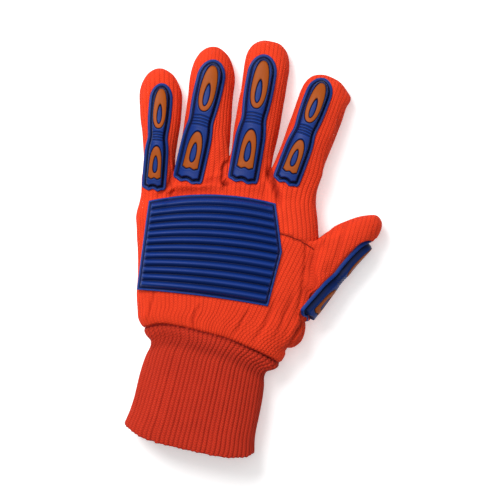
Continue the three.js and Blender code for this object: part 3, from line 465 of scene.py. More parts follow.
def ring_columns(top_shares, section, side):
    """Columns of a ring: over the top, down the right side, back under, up the left."""
    edge = side / 2 / (len(top_shares) - 1 + side)
    top_w, top_v = section(edge + (1 - 2 * edge) * top_shares)
    height = 1 - 2 * np.arange(1, side) / side
    side_w, side_v = section(1 - edge * np.abs(height))
    side_v = np.sign(height) * side_v
    w = np.concatenate([top_w, side_w, top_w[::-1], -side_w])
    v = np.concatenate([top_v, side_v, -top_v[::-1], -side_v])
    return w, v


PALM_WIDTH = sum(finger["width"] for finger in FINGERS)
LEFT_END = BODY_LINE["left"][-1] * PALM_WIDTH
WALKED = np.concatenate([[0], np.cumsum([finger["width"] for finger in FINGERS])])
WEB_POINTS = np.stack([LEFT_END + WALKED, np.array(WEBS) * PALM_LENGTH], axis=1)


class Finger:
    """One finger's frame and ring at a given number of samples a cord."""

    def __init__(self, number, samples):
        row = FINGERS[number]
        self.row = row
        self.side = SIDE_CORDS * samples
        self.count = row["cords"] * samples
        self.first = sum(other["cords"] for other in FINGERS[:number]) * samples
        self.left, self.right = WEB_POINTS[number], WEB_POINTS[number + 1]
        self.centre = (self.left + self.right) / 2
        turn = math.radians(row["lean"])
        self.along = np.array([math.sin(turn), math.cos(turn)])
        self.across = np.array([math.cos(turn), -math.sin(turn)])
        section = half_section(row["width"] / 2, FINGER_HEIGHT / 2, ROUNDNESS)
        self.w, self.v = ring_columns(np.linspace(0, 1, self.count + 1), section, self.side)
        wide = (self.right - self.left) @ self.across / row["width"]
        shares = [wide, row["low"], row["mid"], row["high"], row["high"]]
        self.line = {"at": FINGER_STATIONS, "wide": shares}

    def point(self, columns, f):
        """Points of the finger's outside: f runs from the knuckle line to the tip."""
        row, w, v = self.row, self.w[columns], self.v[columns]
        rooted = np.clip(w / abs(self.w[0]), -1, 1)
        root = lerp(self.left, self.right, (rooted[:, None] + 1) / 2)
        start = (root - self.centre) @ self.along
        end = row["length"] - row["tip"] * (1 - rounded(w, row["blunt"]))
        s = lerp(start, end, f)
        lateral = lerp(rooted, w, ease((s - start) / WEB_RISE))
        clear = FINGER_GAP / 2 * ease(2 * (s - start) / WEB_RISE)
        half = read(self.line, "wide", s / row["length"]) * row["width"] / 2 - clear
        rising = root + np.outer(s - start, self.along) - np.outer(rooted * clear, self.across)
        drift = row["shift"] * (s / row["length"]) ** 3
        free = self.centre + np.outer(s, self.along) + np.outer(lateral * half + drift, self.across)
        plan = lerp(rising, free, ease((s - start) / ROOT_RUN)[:, None])
        close = rounded(np.clip((s - end + row["tip"]) / row["tip"], 0, 1), ROUNDNESS)
        return np.column_stack([plan, wall_height(FINGER_LINE, FINGER_HEIGHT, s / row["length"], v, close)])


def wall_height(line, height, share, v, close):
    """Height of a digit's wall at a station, drawn in where its tip closes."""
    middle = read(line, "middle", share) * height
    half = read(line, "half", share) * height
    return np.maximum(middle + v * half * close, 0)


def sack_section(t):
    """The hand's half section at a level."""
    wide = float(read(BODY_LINE, "right", t) - read(BODY_LINE, "left", t)) * PALM_WIDTH
    return half_section(wide / 2, float(read(BODY_LINE, "crown", t)) * PALM_HEIGHT / 2, BODY_ROUNDNESS)


def sack_point(t, w, v):
    """Points of the hand's outside as one sack: t from the cuff seam to the knuckle line."""
    left, right = read(BODY_LINE, "left", t) * PALM_WIDTH, read(BODY_LINE, "right", t) * PALM_WIDTH
    crown = read(BODY_LINE, "crown", t) * PALM_HEIGHT
    share = (w + 1) / 2
    seam = read(SEAM_LINE, "up", share) * PALM_LENGTH
    knuckle = np.interp(lerp(WEB_POINTS[0, 0], WEB_POINTS[-1, 0], share), WEB_POINTS[:, 0], WEB_POINTS[:, 1])
    z = crown * (PALM_MIDDLE + np.where(v > 0, PALM_RISE, PALM_DROP) * v)
    return np.column_stack([lerp(left, right, share), lerp(seam, knuckle, t), np.maximum(z, 0)])


def thumb_frame():
    """The thumb's base in plan, with its ways along and across."""
    turn = math.radians(THUMB_TURN)
    base = np.array([THUMB_BASE[0] * PALM_WIDTH, THUMB_BASE[1] * PALM_LENGTH])
    along = np.array([math.cos(turn), math.sin(turn)])
    return base, along, np.array([-along[1], along[0]])


class Skin:
    """The cloth hand as one skin: points, cord numbers and lengths along the cords, and faces."""

    def __init__(self, samples, body_rows, finger_rows, thumb_rows):
        self.samples = samples
        self.blocks, self.cords, self.lengths, self.parts, self.ends = [], [], [], [], []
        self.quads, self.quad_cords, self.quad_lengths = [], [], []
        self.total = 0
        self.fingers = [Finger(i, samples) for i in range(len(FINGERS))]
        self.columns = sum(finger.count for finger in self.fingers)
        self.side = SIDE_CORDS * samples
        self.ring = 2 * (self.columns + self.side)
        self.build_body(body_rows)
        self.build_fingers(finger_rows)
        self.build_thumb(thumb_rows)
        self.points, self.cord, self.length, self.part, self.end = map(
            np.concatenate, (self.blocks, self.cords, self.lengths, self.parts, self.ends))
        self.faces, self.face_cords, self.face_lengths = map(
            np.concatenate, (self.quads, self.quad_cords, self.quad_lengths))

    def add(self, points, cords, lengths, part, end=0.0):
        """Keeps a run of points with the cord, length, part and share to the tip of each."""
        size = len(points)
        self.blocks.append(points)
        self.cords.append(np.broadcast_to(cords, size).astype(float))
        self.lengths.append(np.broadcast_to(lengths, size).astype(float))
        self.parts.append(np.full(size, part))
        self.ends.append(np.full(size, end))
        self.total += size
        return np.arange(self.total - size, self.total)

    def join(self, low, high, cords, flip=False, keep=slice(None)):
        """Quads between two closed rings; cords have one more value than the ring."""
        quads = ring_quads([low, high])
        quad_cords = np.column_stack([cords[:-1], cords[1:], cords[1:], cords[:-1]])
        lengths = np.concatenate(self.lengths)[quads]
        kept = ((self.quads, quads), (self.quad_cords, quad_cords), (self.quad_lengths, lengths))
        for store, corners in kept:
            store.append(corners[keep][:, ::-1 if flip else 1])

    def fingers_at(self):
        """For each column of the hand's ring, the one or two finger columns that it runs into."""
        met = [[] for _ in range(self.ring)]
        c, s = self.columns, self.side
        for number, finger in enumerate(self.fingers):
            for j in range(finger.count + 1):
                met[finger.first + j].append((number, j))
                met[2 * c + s - finger.first - j].append((number, 2 * finger.count + s - j))
        for j in range(1, s):
            met[c + j].append((len(self.fingers) - 1, self.fingers[-1].count + j))
            met[2 * c + s + j].append((0, 2 * self.fingers[0].count + s + j))
        return met

    def build_body(self, rows):
        """The rings of the hand from the cuff seam to the finger roots, with a hole for the thumb."""
        roots = [finger.point(np.arange(len(finger.w)), 0) for finger in self.fingers]
        met = self.fingers_at()
        crossed = np.array([roots[n][j][0] for n, j in (met[k][0] for k in range(self.columns + 1))])
        top_shares = (crossed - crossed[0]) / (crossed[-1] - crossed[0])
        even = np.linspace(0, 1, self.columns + 1)
        even_rows = np.linspace(0, 1, 400)
        more = (row["more"] * bell((even_rows - row["at"]) / row["width"]) for row in CROWDED_ROWS)
        crowd = np.cumsum(sum(more, 1))
        levels = np.interp(np.linspace(crowd[0], crowd[-1], rows + 1), crowd, even_rows)
        cords = np.arange(self.ring + 1) / self.samples
        self.body = []
        for t in levels:
            w, v = ring_columns(lerp(even, top_shares, ease(t)), sack_section(t), self.side)
            ring = sack_point(t, w, v)
            share = float(ease(1 - (1 - t) / KNUCKLES))
            if share > 0:
                back = (1 - t) * PALM_LENGTH
                behind = [root - np.append(finger.along, 0) * back for root, finger in zip(roots, self.fingers)]
                mean = np.array([np.mean([behind[n][j] for n, j in pairs], axis=0) for pairs in met])
                ring = lerp(ring, mean, share)
            self.body.append(self.add(ring, cords[:-1], ring[:, 1], HAND_PART))
        reach = max(round(self.columns * THUMB_HOLE["reach"]), 1)
        self.hole_columns = (self.columns - reach, self.columns + self.side + reach)
        self.hole_rows = [int(np.argmin(np.abs(levels - THUMB_HOLE[end]))) for end in ("low", "high")]
        column = np.arange(self.ring)
        beside = (column >= self.hole_columns[0]) & (column < self.hole_columns[1])
        for row in range(rows):
            opened = beside & (self.hole_rows[0] <= row < self.hole_rows[1])
            self.join(self.body[row], self.body[row + 1], cords, keep=~opened)

    def build_fingers(self, rows):
        """The fingers, each grown from its part of the hand's last ring and the webs beside it."""
        top = self.body[-1]
        c, s = self.columns, self.side
        webs = []
        for finger in self.fingers[:-1]:
            columns = finger.count + np.arange(1, s)
            points = finger.point(columns, 0)
            webs.append(self.add(points, columns / self.samples, points[:, 1], 1))
        for number, finger in enumerate(self.fingers):
            under = 2 * c + s - finger.first
            back = top[finger.first:finger.first + finger.count + 1]
            palm = top[under - finger.count:under + 1]
            right = webs[number] if number < len(webs) else top[c + 1:c + s]
            left = webs[number - 1][::-1] if number else top[2 * c + s + 1:]
            root = np.concatenate([back, right, palm, left])
            size = len(root)
            fold = (2 * finger.count + s - np.arange(size) + size) % size
            cords = (finger.first + np.arange(size + 1)) / self.samples
            columns = np.arange(size)
            self.grow(root, rows, fold, cords, lambda f: finger.point(columns, f), False, number + 1)

    def grow(self, root, rows, fold, cords, point_at, flip, part):
        """A digit's rings from its root to a tip folded shut along its middle."""
        below, before = root, np.concatenate(self.blocks)[root]
        own = fold >= np.arange(len(root))
        for step in range(1, rows + 1):
            even = step / rows
            even -= ROW_SPREAD * math.sin(2 * math.pi * even) / (2 * math.pi) * (1 - even)
            f = 1 - (1 - even) ** TIP_GATHER
            ring = point_at(f)
            far = np.concatenate(self.lengths)[below] + np.linalg.norm(ring - before, axis=1)
            if step < rows:
                index = self.add(ring, cords[:-1], far, part, f)
            else:
                index = np.empty(len(root), int)
                index[own] = self.add(ring[own], cords[:-1][own], far[own], part, 1.0)
                index[~own] = index[fold[~own]]
            self.join(below, index, cords, flip)
            below, before = index, ring

    def build_thumb(self, rows):
        """The thumb, grown from the edge of its hole in the side of the hand."""
        (left, right), (low, high) = self.hole_columns, self.hole_rows
        edge = [self.body[high][k] for k in range(left, right)]
        edge += [self.body[row][right] for row in range(high, low, -1)]
        edge += [self.body[low][k] for k in range(right, left, -1)]
        edge += [self.body[row][left] for row in range(low, high)]
        self.hole = np.array(edge)
        counts = [right - left, high - low, right - left, high - low]
        angle = np.concatenate([
            np.pi / 2 * (0.5 - side - np.arange(count) / count) for side, count in enumerate(counts)
        ])
        w, v = (signed_power(turned, 2 / ROUNDNESS) for turned in (np.cos(angle), np.sin(angle)))
        hole = np.concatenate(self.blocks)[self.hole]
        base, along, across = thumb_frame()
        start = (hole[:, :2] - base) @ along
        end = THUMB_LENGTH - THUMB_TIP * (1 - rounded(w, ROUNDNESS))

        def point(f):
            s = lerp(start, end, f)
            share = s / THUMB_LENGTH
            wide = np.where(w > 0, read(THUMB_LINE, "fore", share), read(THUMB_LINE, "heel", share))
            free = base + np.outer(s, along) + np.outer(w * wide * THUMB_WIDTH / 2, across)
            close = rounded(np.clip((s - end + THUMB_TIP) / THUMB_TIP, 0, 1), ROUNDNESS)
            z = wall_height(THUMB_LINE, THUMB_HEIGHT, share, v, close)
            rising = hole + np.column_stack([s - start, 0 * s, 0 * s])
            return lerp(rising, np.column_stack([free, z]), ease((s - start) / THUMB_RUN)[:, None])

        size = len(self.hole)
        fold = (counts[0] - np.arange(size) + size) % size
        cords = np.arange(size + 1) / self.samples
        self.grow(self.hole, rows, fold, cords, point, True, THUMB_PART)


def face_corners(faces):
    """Faces as lists without repeated corners."""
    out = []
    for face in faces.tolist():
        clean = [k for i, k in enumerate(face) if k != face[i - 1]]
        if len(set(clean)) > 2:
            out.append(clean)
    return out


def point_normals(points, faces):
    normals = np.zeros_like(points)
    for i, j, k in ((0, 1, 2), (0, 2, 3)):
        a, b, c = points[faces[:, i]], points[faces[:, j]], points[faces[:, k]]
        cross = np.cross(b - a, c - a)
        for corner in (i, j, k):
            np.add.at(normals, faces[:, corner], cross)
    size = np.linalg.norm(normals, axis=1, keepdims=True)
    return normals / np.maximum(size, 1e-12)


def far_from_path(xy, path):
    """Distance of points in plan from a path of straight pieces, and the share along it."""
    best = np.full(len(xy), np.inf)
    share = np.zeros(len(xy))
    path = np.asarray(path, float)
    for i, (a, b) in enumerate(zip(path[:-1], path[1:])):
        t = np.clip((xy - a) @ (b - a) / max((b - a) @ (b - a), 1e-9), 0, 1)
        d = np.linalg.norm(xy - (a + t[:, None] * (b - a)), axis=1)
        nearer = d < best
        best[nearer] = d[nearer]
        share[nearer] = (i + t[nearer]) / (len(path) - 1)
    return best, share


def signed_distance(xy, outline):
    """Distance from a closed outline, negative inside it."""
    closed = np.vstack([outline, outline[:1]])
    best, _ = far_from_path(xy, closed)
    inside = np.zeros(len(xy), bool)
    for a, b in zip(closed[:-1], closed[1:]):
        crosses = (a[1] > xy[:, 1]) != (b[1] > xy[:, 1])
        rise = (b[1] - a[1]) or 1e-12
        inside ^= crosses & (xy[:, 0] < a[0] + (xy[:, 1] - a[1]) / rise * (b[0] - a[0]))
    return np.where(inside, -best, best)


def waves(points, seed, size, count=7):
    """Soft repeatable noise between about -1 and 1, with bumps of about the given size."""
    rng = np.random.default_rng(seed)
    total = np.zeros(len(points))
    for _ in range(count):
        way = rng.normal(size=3)
        way /= np.linalg.norm(way)
        total += np.sin(points @ way * (2 * np.pi / size) * rng.uniform(0.6, 1.5) + rng.uniform(0, 6.28))
    return total / math.sqrt(count) / 1.2


def mesh_object(name, points, faces, material, uvs=None, hollow=None):
    """A mesh object in metres, from points in millimetres, with the painted shade at each point."""
    mesh = bpy.data.meshes.new(name)
    mesh.from_pydata((np.asarray(points) * MM).tolist(), [], faces)
    mesh.validate()
    if uvs is not None:
        layer = mesh.uv_layers.new(name="knit")
        layer.data.foreach_set("uv", np.asarray(uvs, np.float32).ravel())
    if hollow is not None:
        layer = mesh.attributes.new("hollow", "FLOAT", "POINT")
        layer.data.foreach_set("value", np.clip(hollow, 0, 1).astype(np.float32))
    mesh.polygons.foreach_set("use_smooth", [True] * len(mesh.polygons))
    mesh.update()
    obj = bpy.data.objects.new(name, mesh)
    bpy.context.scene.collection.objects.link(obj)
    obj.data.materials.append(material)
    return obj


def settle(obj, slot, *nodes):
    """Makes a piece ride on the glove and stand for its nodes, which it hides; its slot is not used."""
    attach(obj, "root")
    if nodes:
        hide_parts(*nodes)
    return obj


class Nodes:
    """Short ways to add and link the nodes of one material."""

    def __init__(self, name):
        self.material = bpy.data.materials.new(name)
        self.material.use_nodes = True
        self.tree = self.material.node_tree
        self.shader = self.tree.nodes["Principled BSDF"]

    def add(self, kind, inputs=None, **settings):
        node = self.tree.nodes.new(kind)
        for key, value in settings.items():
            setattr(node, key, value)
        for key, value in (inputs or {}).items():
            self.feed(node.inputs[key], value)
        return node

    def feed(self, socket, value):
        if isinstance(value, bpy.types.NodeSocket):
            self.tree.links.new(value, socket)
        else:
            socket.default_value = value

    def math(self, operation, *values):
        node = self.add("ShaderNodeMath", operation=operation)
        for socket, value in zip(node.inputs, values):
            self.feed(socket, value)
        return node.outputs[0]

    def noise(self, vector, scale, detail=2.0, rough=0.5):
        """Noise with its number of bumps a metre, its octaves and their roughness."""
        inputs = {"Vector": vector, "Scale": scale, "Detail": detail, "Roughness": rough}
        return self.add("ShaderNodeTexNoise", inputs).outputs["Fac"]

    def times(self, *values):
        return self.math("MULTIPLY", *values)

    def plus(self, *values):
        return self.math("ADD", *values)

    def blend(self, factor, a, b):
        node = self.add("ShaderNodeMix", data_type="RGBA")
        for number, value in zip((0, 6, 7), (factor, a, b)):
            self.feed(node.inputs[number], value)
        return node.outputs[2]

    def spread(self, value, low, high, to_low=0.0, to_high=1.0):
        """A value's range, stretched to another range and held within it."""
        inputs = {0: value, 1: low, 2: high, 3: to_low, 4: to_high}
        return self.add("ShaderNodeMapRange", inputs).outputs[0]

    def bump(self, height, strength, distance):
        inputs = {"Height": height, "Strength": strength, "Distance": distance}
        return self.add("ShaderNodeBump", inputs).outputs["Normal"]

    # The painted shade kept on each point of a mesh
    def hollow(self):
        return self.add("ShaderNodeAttribute", attribute_name="hollow").outputs["Fac"]

    def place(self):
        return self.add("ShaderNodeTexCoord").outputs["Object"]

    def surface(self, **values):
        """Sets or links the shader's inputs, whose names are written with _ for a space."""
        for name, value in values.items():
            self.feed(self.shader.inputs[name.replace("_", " ")], value)
        return self.material


def colour(values, share=1.0, lift=0.0):
    """A colour socket's value, made darker or lighter by a share and a lift."""
    return (*(min(share * c + lift, 1) for c in values), 1.0)


def knit_material(name, bright, shade, stitches, relief, stitch_gap_shade):
    """Corded knit: a column of stitches on each cord, painted shade in the grooves, between the stitches and in
    creases, with fuzz and slight fading.
    """
    m = Nodes(name)
    uv = m.add("ShaderNodeUVMap", uv_map="knit").outputs["UV"]
    place = m.place()
    split = m.add("ShaderNodeSeparateXYZ", {0: uv})
    wander = m.times(m.math("SUBTRACT", m.noise(place, *NOISES["wander"]), 0.5), 0.22)
    cord, along = m.plus(split.outputs[0], wander), split.outputs[1]
    off = m.math("ABSOLUTE", m.math("SUBTRACT", m.math("FRACT", cord), 0.5))
    odd = m.math("FRACT", m.times(m.math("FLOOR", cord), 0.5))
    chevron = m.plus(m.plus(m.times(along, stitches), m.times(off, 1.4)), odd)
    loop = m.math("ABSOLUTE", m.math("SINE", m.times(chevron, math.pi)))
    groove = m.spread(off, 0.26, 0.5)
    broad = m.noise(place, *NOISES["broad"])
    fine = m.noise(place, *NOISES["fuzz"])
    patchy = m.spread(m.noise(place, *NOISES["patches"]), 0.35, 0.62, 0.2, 1.0)
    # Painted shade in the grooves between the cords, patchy, and stronger between the stitches
    groove_shade = m.times(m.times(groove, patchy), m.spread(loop, 0.9, 0.2, 0.25, 1.0))
    tone = m.blend(m.spread(broad, 0.3, 0.7), colour(bright), colour(bright, share=0.88))
    tone = m.blend(groove_shade, tone, colour(shade))
    # Painted shade in the gaps between the stitches
    tone = m.blend(m.times(m.math("SUBTRACT", 1.0, loop), stitch_gap_shade), tone, colour(shade))
    # Painted shade in creases, seams and folds, nearly black where deepest
    tone = m.blend(m.times(m.hollow(), 0.85), tone, colour(shade, share=0.35))
    tone = m.blend(m.spread(fine, 0.35, 0.75, 0.0, 0.18), tone, colour(bright, share=1.1, lift=0.01))
    height = m.plus(m.times(loop, 0.7), m.times(fine, 0.6))
    height = m.math("SUBTRACT", height, m.times(groove, 0.6))
    return m.surface(
        Base_Color=tone, Roughness=m.spread(fine, 0.2, 0.8, 0.8, 0.95), Sheen_Weight=0.06, Sheen_Roughness=0.5,
        Sheen_Tint=colour(bright, share=1.1, lift=0.03), Specular_IOR_Level=0.08,
        Normal=m.bump(height, 0.75, relief))


def rubber_material(name, base, worn, rough):
    """Moulded rubber: satin, faintly grained, with a painted highlight along raised edges and painted shade in the
    hollows.
    """
    m = Nodes(name)
    place = m.place()
    broad = m.noise(place, *NOISES["worn"])
    grain = m.noise(place, *NOISES["grain"])
    raised = m.spread(m.add("ShaderNodeNewGeometry").outputs["Pointiness"], 0.5, 0.56)
    tone = m.blend(m.spread(broad, 0.3, 0.7), colour(base), colour(base, share=0.85))
    # A painted highlight along raised edges
    tone = m.blend(m.times(raised, 0.5), tone, colour(worn))
    # Painted shade in grooves, on shaded slopes and round the inlays
    tone = m.blend(m.hollow(), tone, colour(base, share=0.06))
    return m.surface(
        Base_Color=tone, Roughness=m.spread(broad, 0.3, 0.7, rough - 0.05, rough + 0.07),
        Specular_IOR_Level=0.12, Normal=m.bump(grain, 0.18, 0.0002))


def cord_profile(cord):
    """Height of a cord over its width: a full crest between narrow grooves."""
    return np.abs(np.sin(np.pi * cord)) ** CORD_SHAPE


@functools.cache
def shell_surface():
    """The smooth outside of the cloth hand, its normals and its ray tree, for all that lies on it."""
    skin = Skin(CORD_SAMPLES, BODY_ROWS, FINGER_ROWS, THUMB_ROWS)
    tree = BVHTree.FromPolygons(skin.points.tolist(), face_corners(skin.faces))
    return skin, point_normals(skin.points, skin.faces), tree


def thumb_cords(points, pitch):
    """Cord numbers and lengths on the thumb, whose cords cross it steeply."""
    turn = math.radians(THUMB_CORD_TURN)
    cord = (points[:, 0] * math.sin(turn) - points[:, 1] * math.cos(turn)) / pitch
    return cord, points[:, 0] * math.cos(turn) + points[:, 1] * math.sin(turn)


def cord_lean(skin):
    """How far the cords below the back seam are moved over, in cords, so that they lean."""
    x, y = skin.points[:, 0], skin.points[:, 1]
    column = np.arange(len(x)) % skin.ring
    top_side = (skin.part == HAND_PART) & (column < skin.columns + skin.side // 2)
    below = (y < np.interp(x, *np.transpose(BACK_SEAM))) & top_side
    grown = ease((x - CORD_LEAN["from"]) / (CORD_LEAN["to"] - CORD_LEAN["from"]))
    lean = math.tan(math.radians(CORD_LEAN["degrees"])) * grown
    return np.where(below, -lean * (y - CORD_LEAN["level"]) / (PALM_WIDTH / LEAN_PITCH), 0.0)


def cord_relief(skin, shift, near, settings):
    """Height of the cords, each a little different, flatter on the thumb, at its seam and at the tips."""
    points, thumb = skin.points, skin.part == THUMB_PART
    cord = skin.cord + shift + CORDS["wander"] * waves(points, *WAVES["cords"])
    cord[thumb] = thumb_cords(points[thumb], settings.thumb_pitch / MM)[0]
    tip = ease((skin.end - CORDS["tip_from"]) / CORDS["tip_run"])
    depth = settings.cord_depth / MM * (1 - CORDS["at_tip"] * tip)
    depth = depth * np.where(thumb, CORDS["on_thumb"], 1.0)
    patches = waves(points * np.array([1.0, 0.5, 1.0]), *WAVES["patches"])
    depth = depth * (CORDS["deep"] + CORDS["patchy"] * patches)
    depth = depth * (1 - CORDS["at_seam"] * bell(near / CORDS["seam_reach"]))
    uneven = np.random.default_rng(4).normal(size=MOST_CORDS) * CORDS["uneven"]
    return depth * (cord_profile(cord) - CORD_MEAN) + depth * uneven[np.floor(cord + 1e-6).astype(int) % MOST_CORDS]


def off_floor(points, height, least):
    """Relief that fades towards the floor; what stands out keeps at least a share of it."""
    rest = ease(points[:, 2] / FLOOR_FADE)
    return np.where(height > 0, height * np.maximum(rest, least), height * rest)


def shell_relief(skin, normals, shift, settings):
    """How far each point of the cloth stands out from its smooth surface, and how much painted shade darkens it."""
    points, xy = skin.points, skin.points[:, :2]
    near = from_thumb_seam(skin)
    back = ease((normals[:, 2] + 0.1) / 0.5)
    height = cord_relief(skin, shift, near, settings)
    hollow = np.zeros(len(points))
    wander = np.column_stack([waves(points, *WAVES[way]) for way in ("aside", "along")]) * CREASE["wander"]
    for crease in CREASES:
        d, share = far_from_path(xy + wander, crease["path"])
        fade = np.sin(np.pi * np.clip(CREASE["start"] + CREASE["stretch"] * share, 0, 1)) * back
        line, width = bell(d / crease["width"]), crease["width"]
        height -= crease["depth"] * fade * line
        height += CREASE["rim"] * crease["depth"] * fade * bell((d - CREASE["rim_out"] * width) / width)
        # Painted shade along each crease
        hollow = np.maximum(hollow, crease["dark"] * fade * line)
    for roll in ROLLS:
        height += roll["rise"] * bell(far_from_path(xy, roll["path"])[0] / roll["width"])
    beside = (points[:, 1] < HEEL["high"]) * (points[:, 1] > HEEL["low"])
    heel = ease((right_of(xy, HEEL_FOLD) - HEEL["past_fold"]) / HEEL["run"]) * beside * back
    height -= HEEL["depth"] * heel * (skin.part != THUMB_PART)
    height -= THUMB_SEAM["depth"] * bell(near / THUMB_SEAM["width"])
    # Painted shade beside the heel's fold and along the thumb's seam
    seam_dark = THUMB_SEAM["dark"] * bell(near / THUMB_SEAM["dark_width"])
    hollow = np.maximum(hollow, np.maximum(HEEL["dark"] * heel, seam_dark))
    for wrinkle in WRINKLES:
        depth = settings.wrinkle_depth / MM * wrinkle["share"]
        height += depth * waves(points * np.array([1.0, wrinkle["stretch"], 1.0]), wrinkle["seed"], wrinkle["size"])
    height -= 1.0 * (1 - np.clip(from_wrist_edge(skin) / WRIST_ROLL, 0, 1)) ** 2
    return off_floor(points, height, 0.15), hollow


def from_thumb_seam(skin):
    """Distance of each point of the cloth from the ring where the thumb joins the palm."""
    points = skin.points
    hole = points[skin.hole]
    picked = np.linalg.norm(points - hole.mean(axis=0), axis=1) < THUMB_SEAM["reach"]
    best = np.full(picked.sum(), np.inf)
    for corner in hole[::2]:
        best = np.minimum(best, np.linalg.norm(points[picked] - corner, axis=1))
    near = np.full(len(points), np.inf)
    near[picked] = best
    return near


def right_of(xy, path):
    """How far points lie to the right of a path that runs downwards."""
    path = np.array(path, float)[::-1]
    return xy[:, 0] - np.interp(xy[:, 1], path[:, 1], path[:, 0])


def from_wrist_edge(skin):
    """Distance of each point of the hand from the wrist edge in its own column."""
    edge = skin.points[skin.body[0]][np.arange(len(skin.points)) % skin.ring]
    return np.where(skin.part == HAND_PART, np.linalg.norm(skin.points - edge, axis=1), np.inf)


def zip_rims(fine, coarse):
    """Faces between a fine ring and a coarse one that starts with it."""
    step = len(fine) // len(coarse)
    faces = []
    for k in range(len(coarse)):
        run = [fine[(k * step + i) % len(fine)] for i in range(step + 1)]
        nxt = coarse[(k + 1) % len(coarse)]
        half = step // 2
        faces += [[run[i + 1], run[i], coarse[k]] for i in range(half)]
        faces.append([run[half], coarse[k], nxt])
        faces += [[run[i + 1], run[i], nxt] for i in range(half, step)]
    return faces


def cloth_inside():
    """The coarse inside of the hand, one cloth in, and its points."""
    lining = Skin(1, *LINING_ROWS)
    inside = lining.points - point_normals(lining.points, lining.faces) * CLOTH
    inside[:, 2] = np.maximum(inside[:, 2], CLOTH)
    return lining, inside


def knit_places(skin, shift, pitch):
    """The cord number and the length along it at each corner of each face."""
    cords, lengths = skin.face_cords + shift[skin.faces], skin.face_lengths.copy()
    on_thumb = (skin.part[skin.faces] == THUMB_PART).any(axis=1)
    for corner in range(4):
        points = skin.points[skin.faces[on_thumb, corner]]
        cords[on_thumb, corner], lengths[on_thumb, corner] = thumb_cords(points, pitch)
    return np.stack([cords, lengths], axis=-1)


def build_shell(settings):
    """The corded knit of the hand, its fingers and its thumb, with an inside one cloth in."""
    skin, normals, _ = shell_surface()
    shift = cord_lean(skin)
    height, hollow = shell_relief(skin, normals, shift, settings)
    outside = skin.points + normals * height[:, None]
    outside[:, 2] = np.maximum(outside[:, 2], 0)
    press_under_guards(outside)
    lining, inside = cloth_inside()
    start = len(outside)
    faces, uvs = [], []
    places = knit_places(skin, shift, settings.thumb_pitch / MM)
    for face, place in zip(skin.faces.tolist(), places.tolist()):
        kept = [i for i in range(4) if face[i] != face[i - 1]]
        if len({face[i] for i in kept}) > 2:
            faces.append([face[i] for i in kept])
            uvs += [place[i] for i in kept]
    for face in face_corners(lining.faces[:, ::-1]):
        faces.append([k + start for k in face])
        uvs += [(lining.cord[k], lining.length[k]) for k in face]
    rims = zip_rims(skin.body[0].tolist(), (lining.body[0] + start).tolist())
    faces += rims
    uvs += [(0.5, 0.0)] * sum(len(face) for face in rims)
    knit = knit_material("corded_knit", settings.bright, settings.shade, *KNITS["hand"])
    hollow = np.concatenate([hollow, np.zeros(len(inside))])
    obj = mesh_object("corded_hand", np.vstack([outside, inside]), faces, knit, uvs, hollow)
    nodes = ["hand_body", "thumb"] + [f"finger_{row['name']}" for row in FINGERS]
    return settle(obj, "cord_knit", *nodes)


def rotation(axis, degrees):
    return np.array(Matrix.Rotation(math.radians(degrees), 3, axis))


def guard_frames():
    """Each guard with its turn and its centre in millimetres."""
    for guard in GUARDS:
        number = [row["name"] for row in FINGERS].index(guard["digit"])
        finger = Finger(number, 1)
        centre = finger.centre + finger.along * guard["up"] * finger.row["length"]
        centre = centre + finger.across * guard["across"] * finger.row["width"]
        yield guard, rotation("Z", -(finger.row["lean"] + guard["turn"])), np.append(centre, 0)
    pose = THUMB_GUARD_POSE
    turn = rotation("Z", pose["turn"] - 90) @ rotation("X", -pose["dip"]) @ rotation("Y", 90 - pose["roll"])
    centre = [pose["across"] * PALM_WIDTH, pose["up"] * PALM_LENGTH, pose["high"] * PALM_HEIGHT]
    yield THUMB_GUARD, turn, np.array(centre)


def depth_under(turn, centre, x, y, fallback=0.0):
    """Height of the cloth over a frame's own plane, looking in along its third axis."""
    tree = shell_surface()[2]
    reach = PALM_LENGTH
    way = Vector(-turn[:, 2])
    out = np.empty(len(x))
    for i, (a, b) in enumerate(zip(x, y)):
        start = turn @ np.array([a, b, reach]) + centre
        hit = tree.ray_cast(Vector(start), way)
        out[i] = fallback if hit[0] is None else reach - hit[3]
    return out


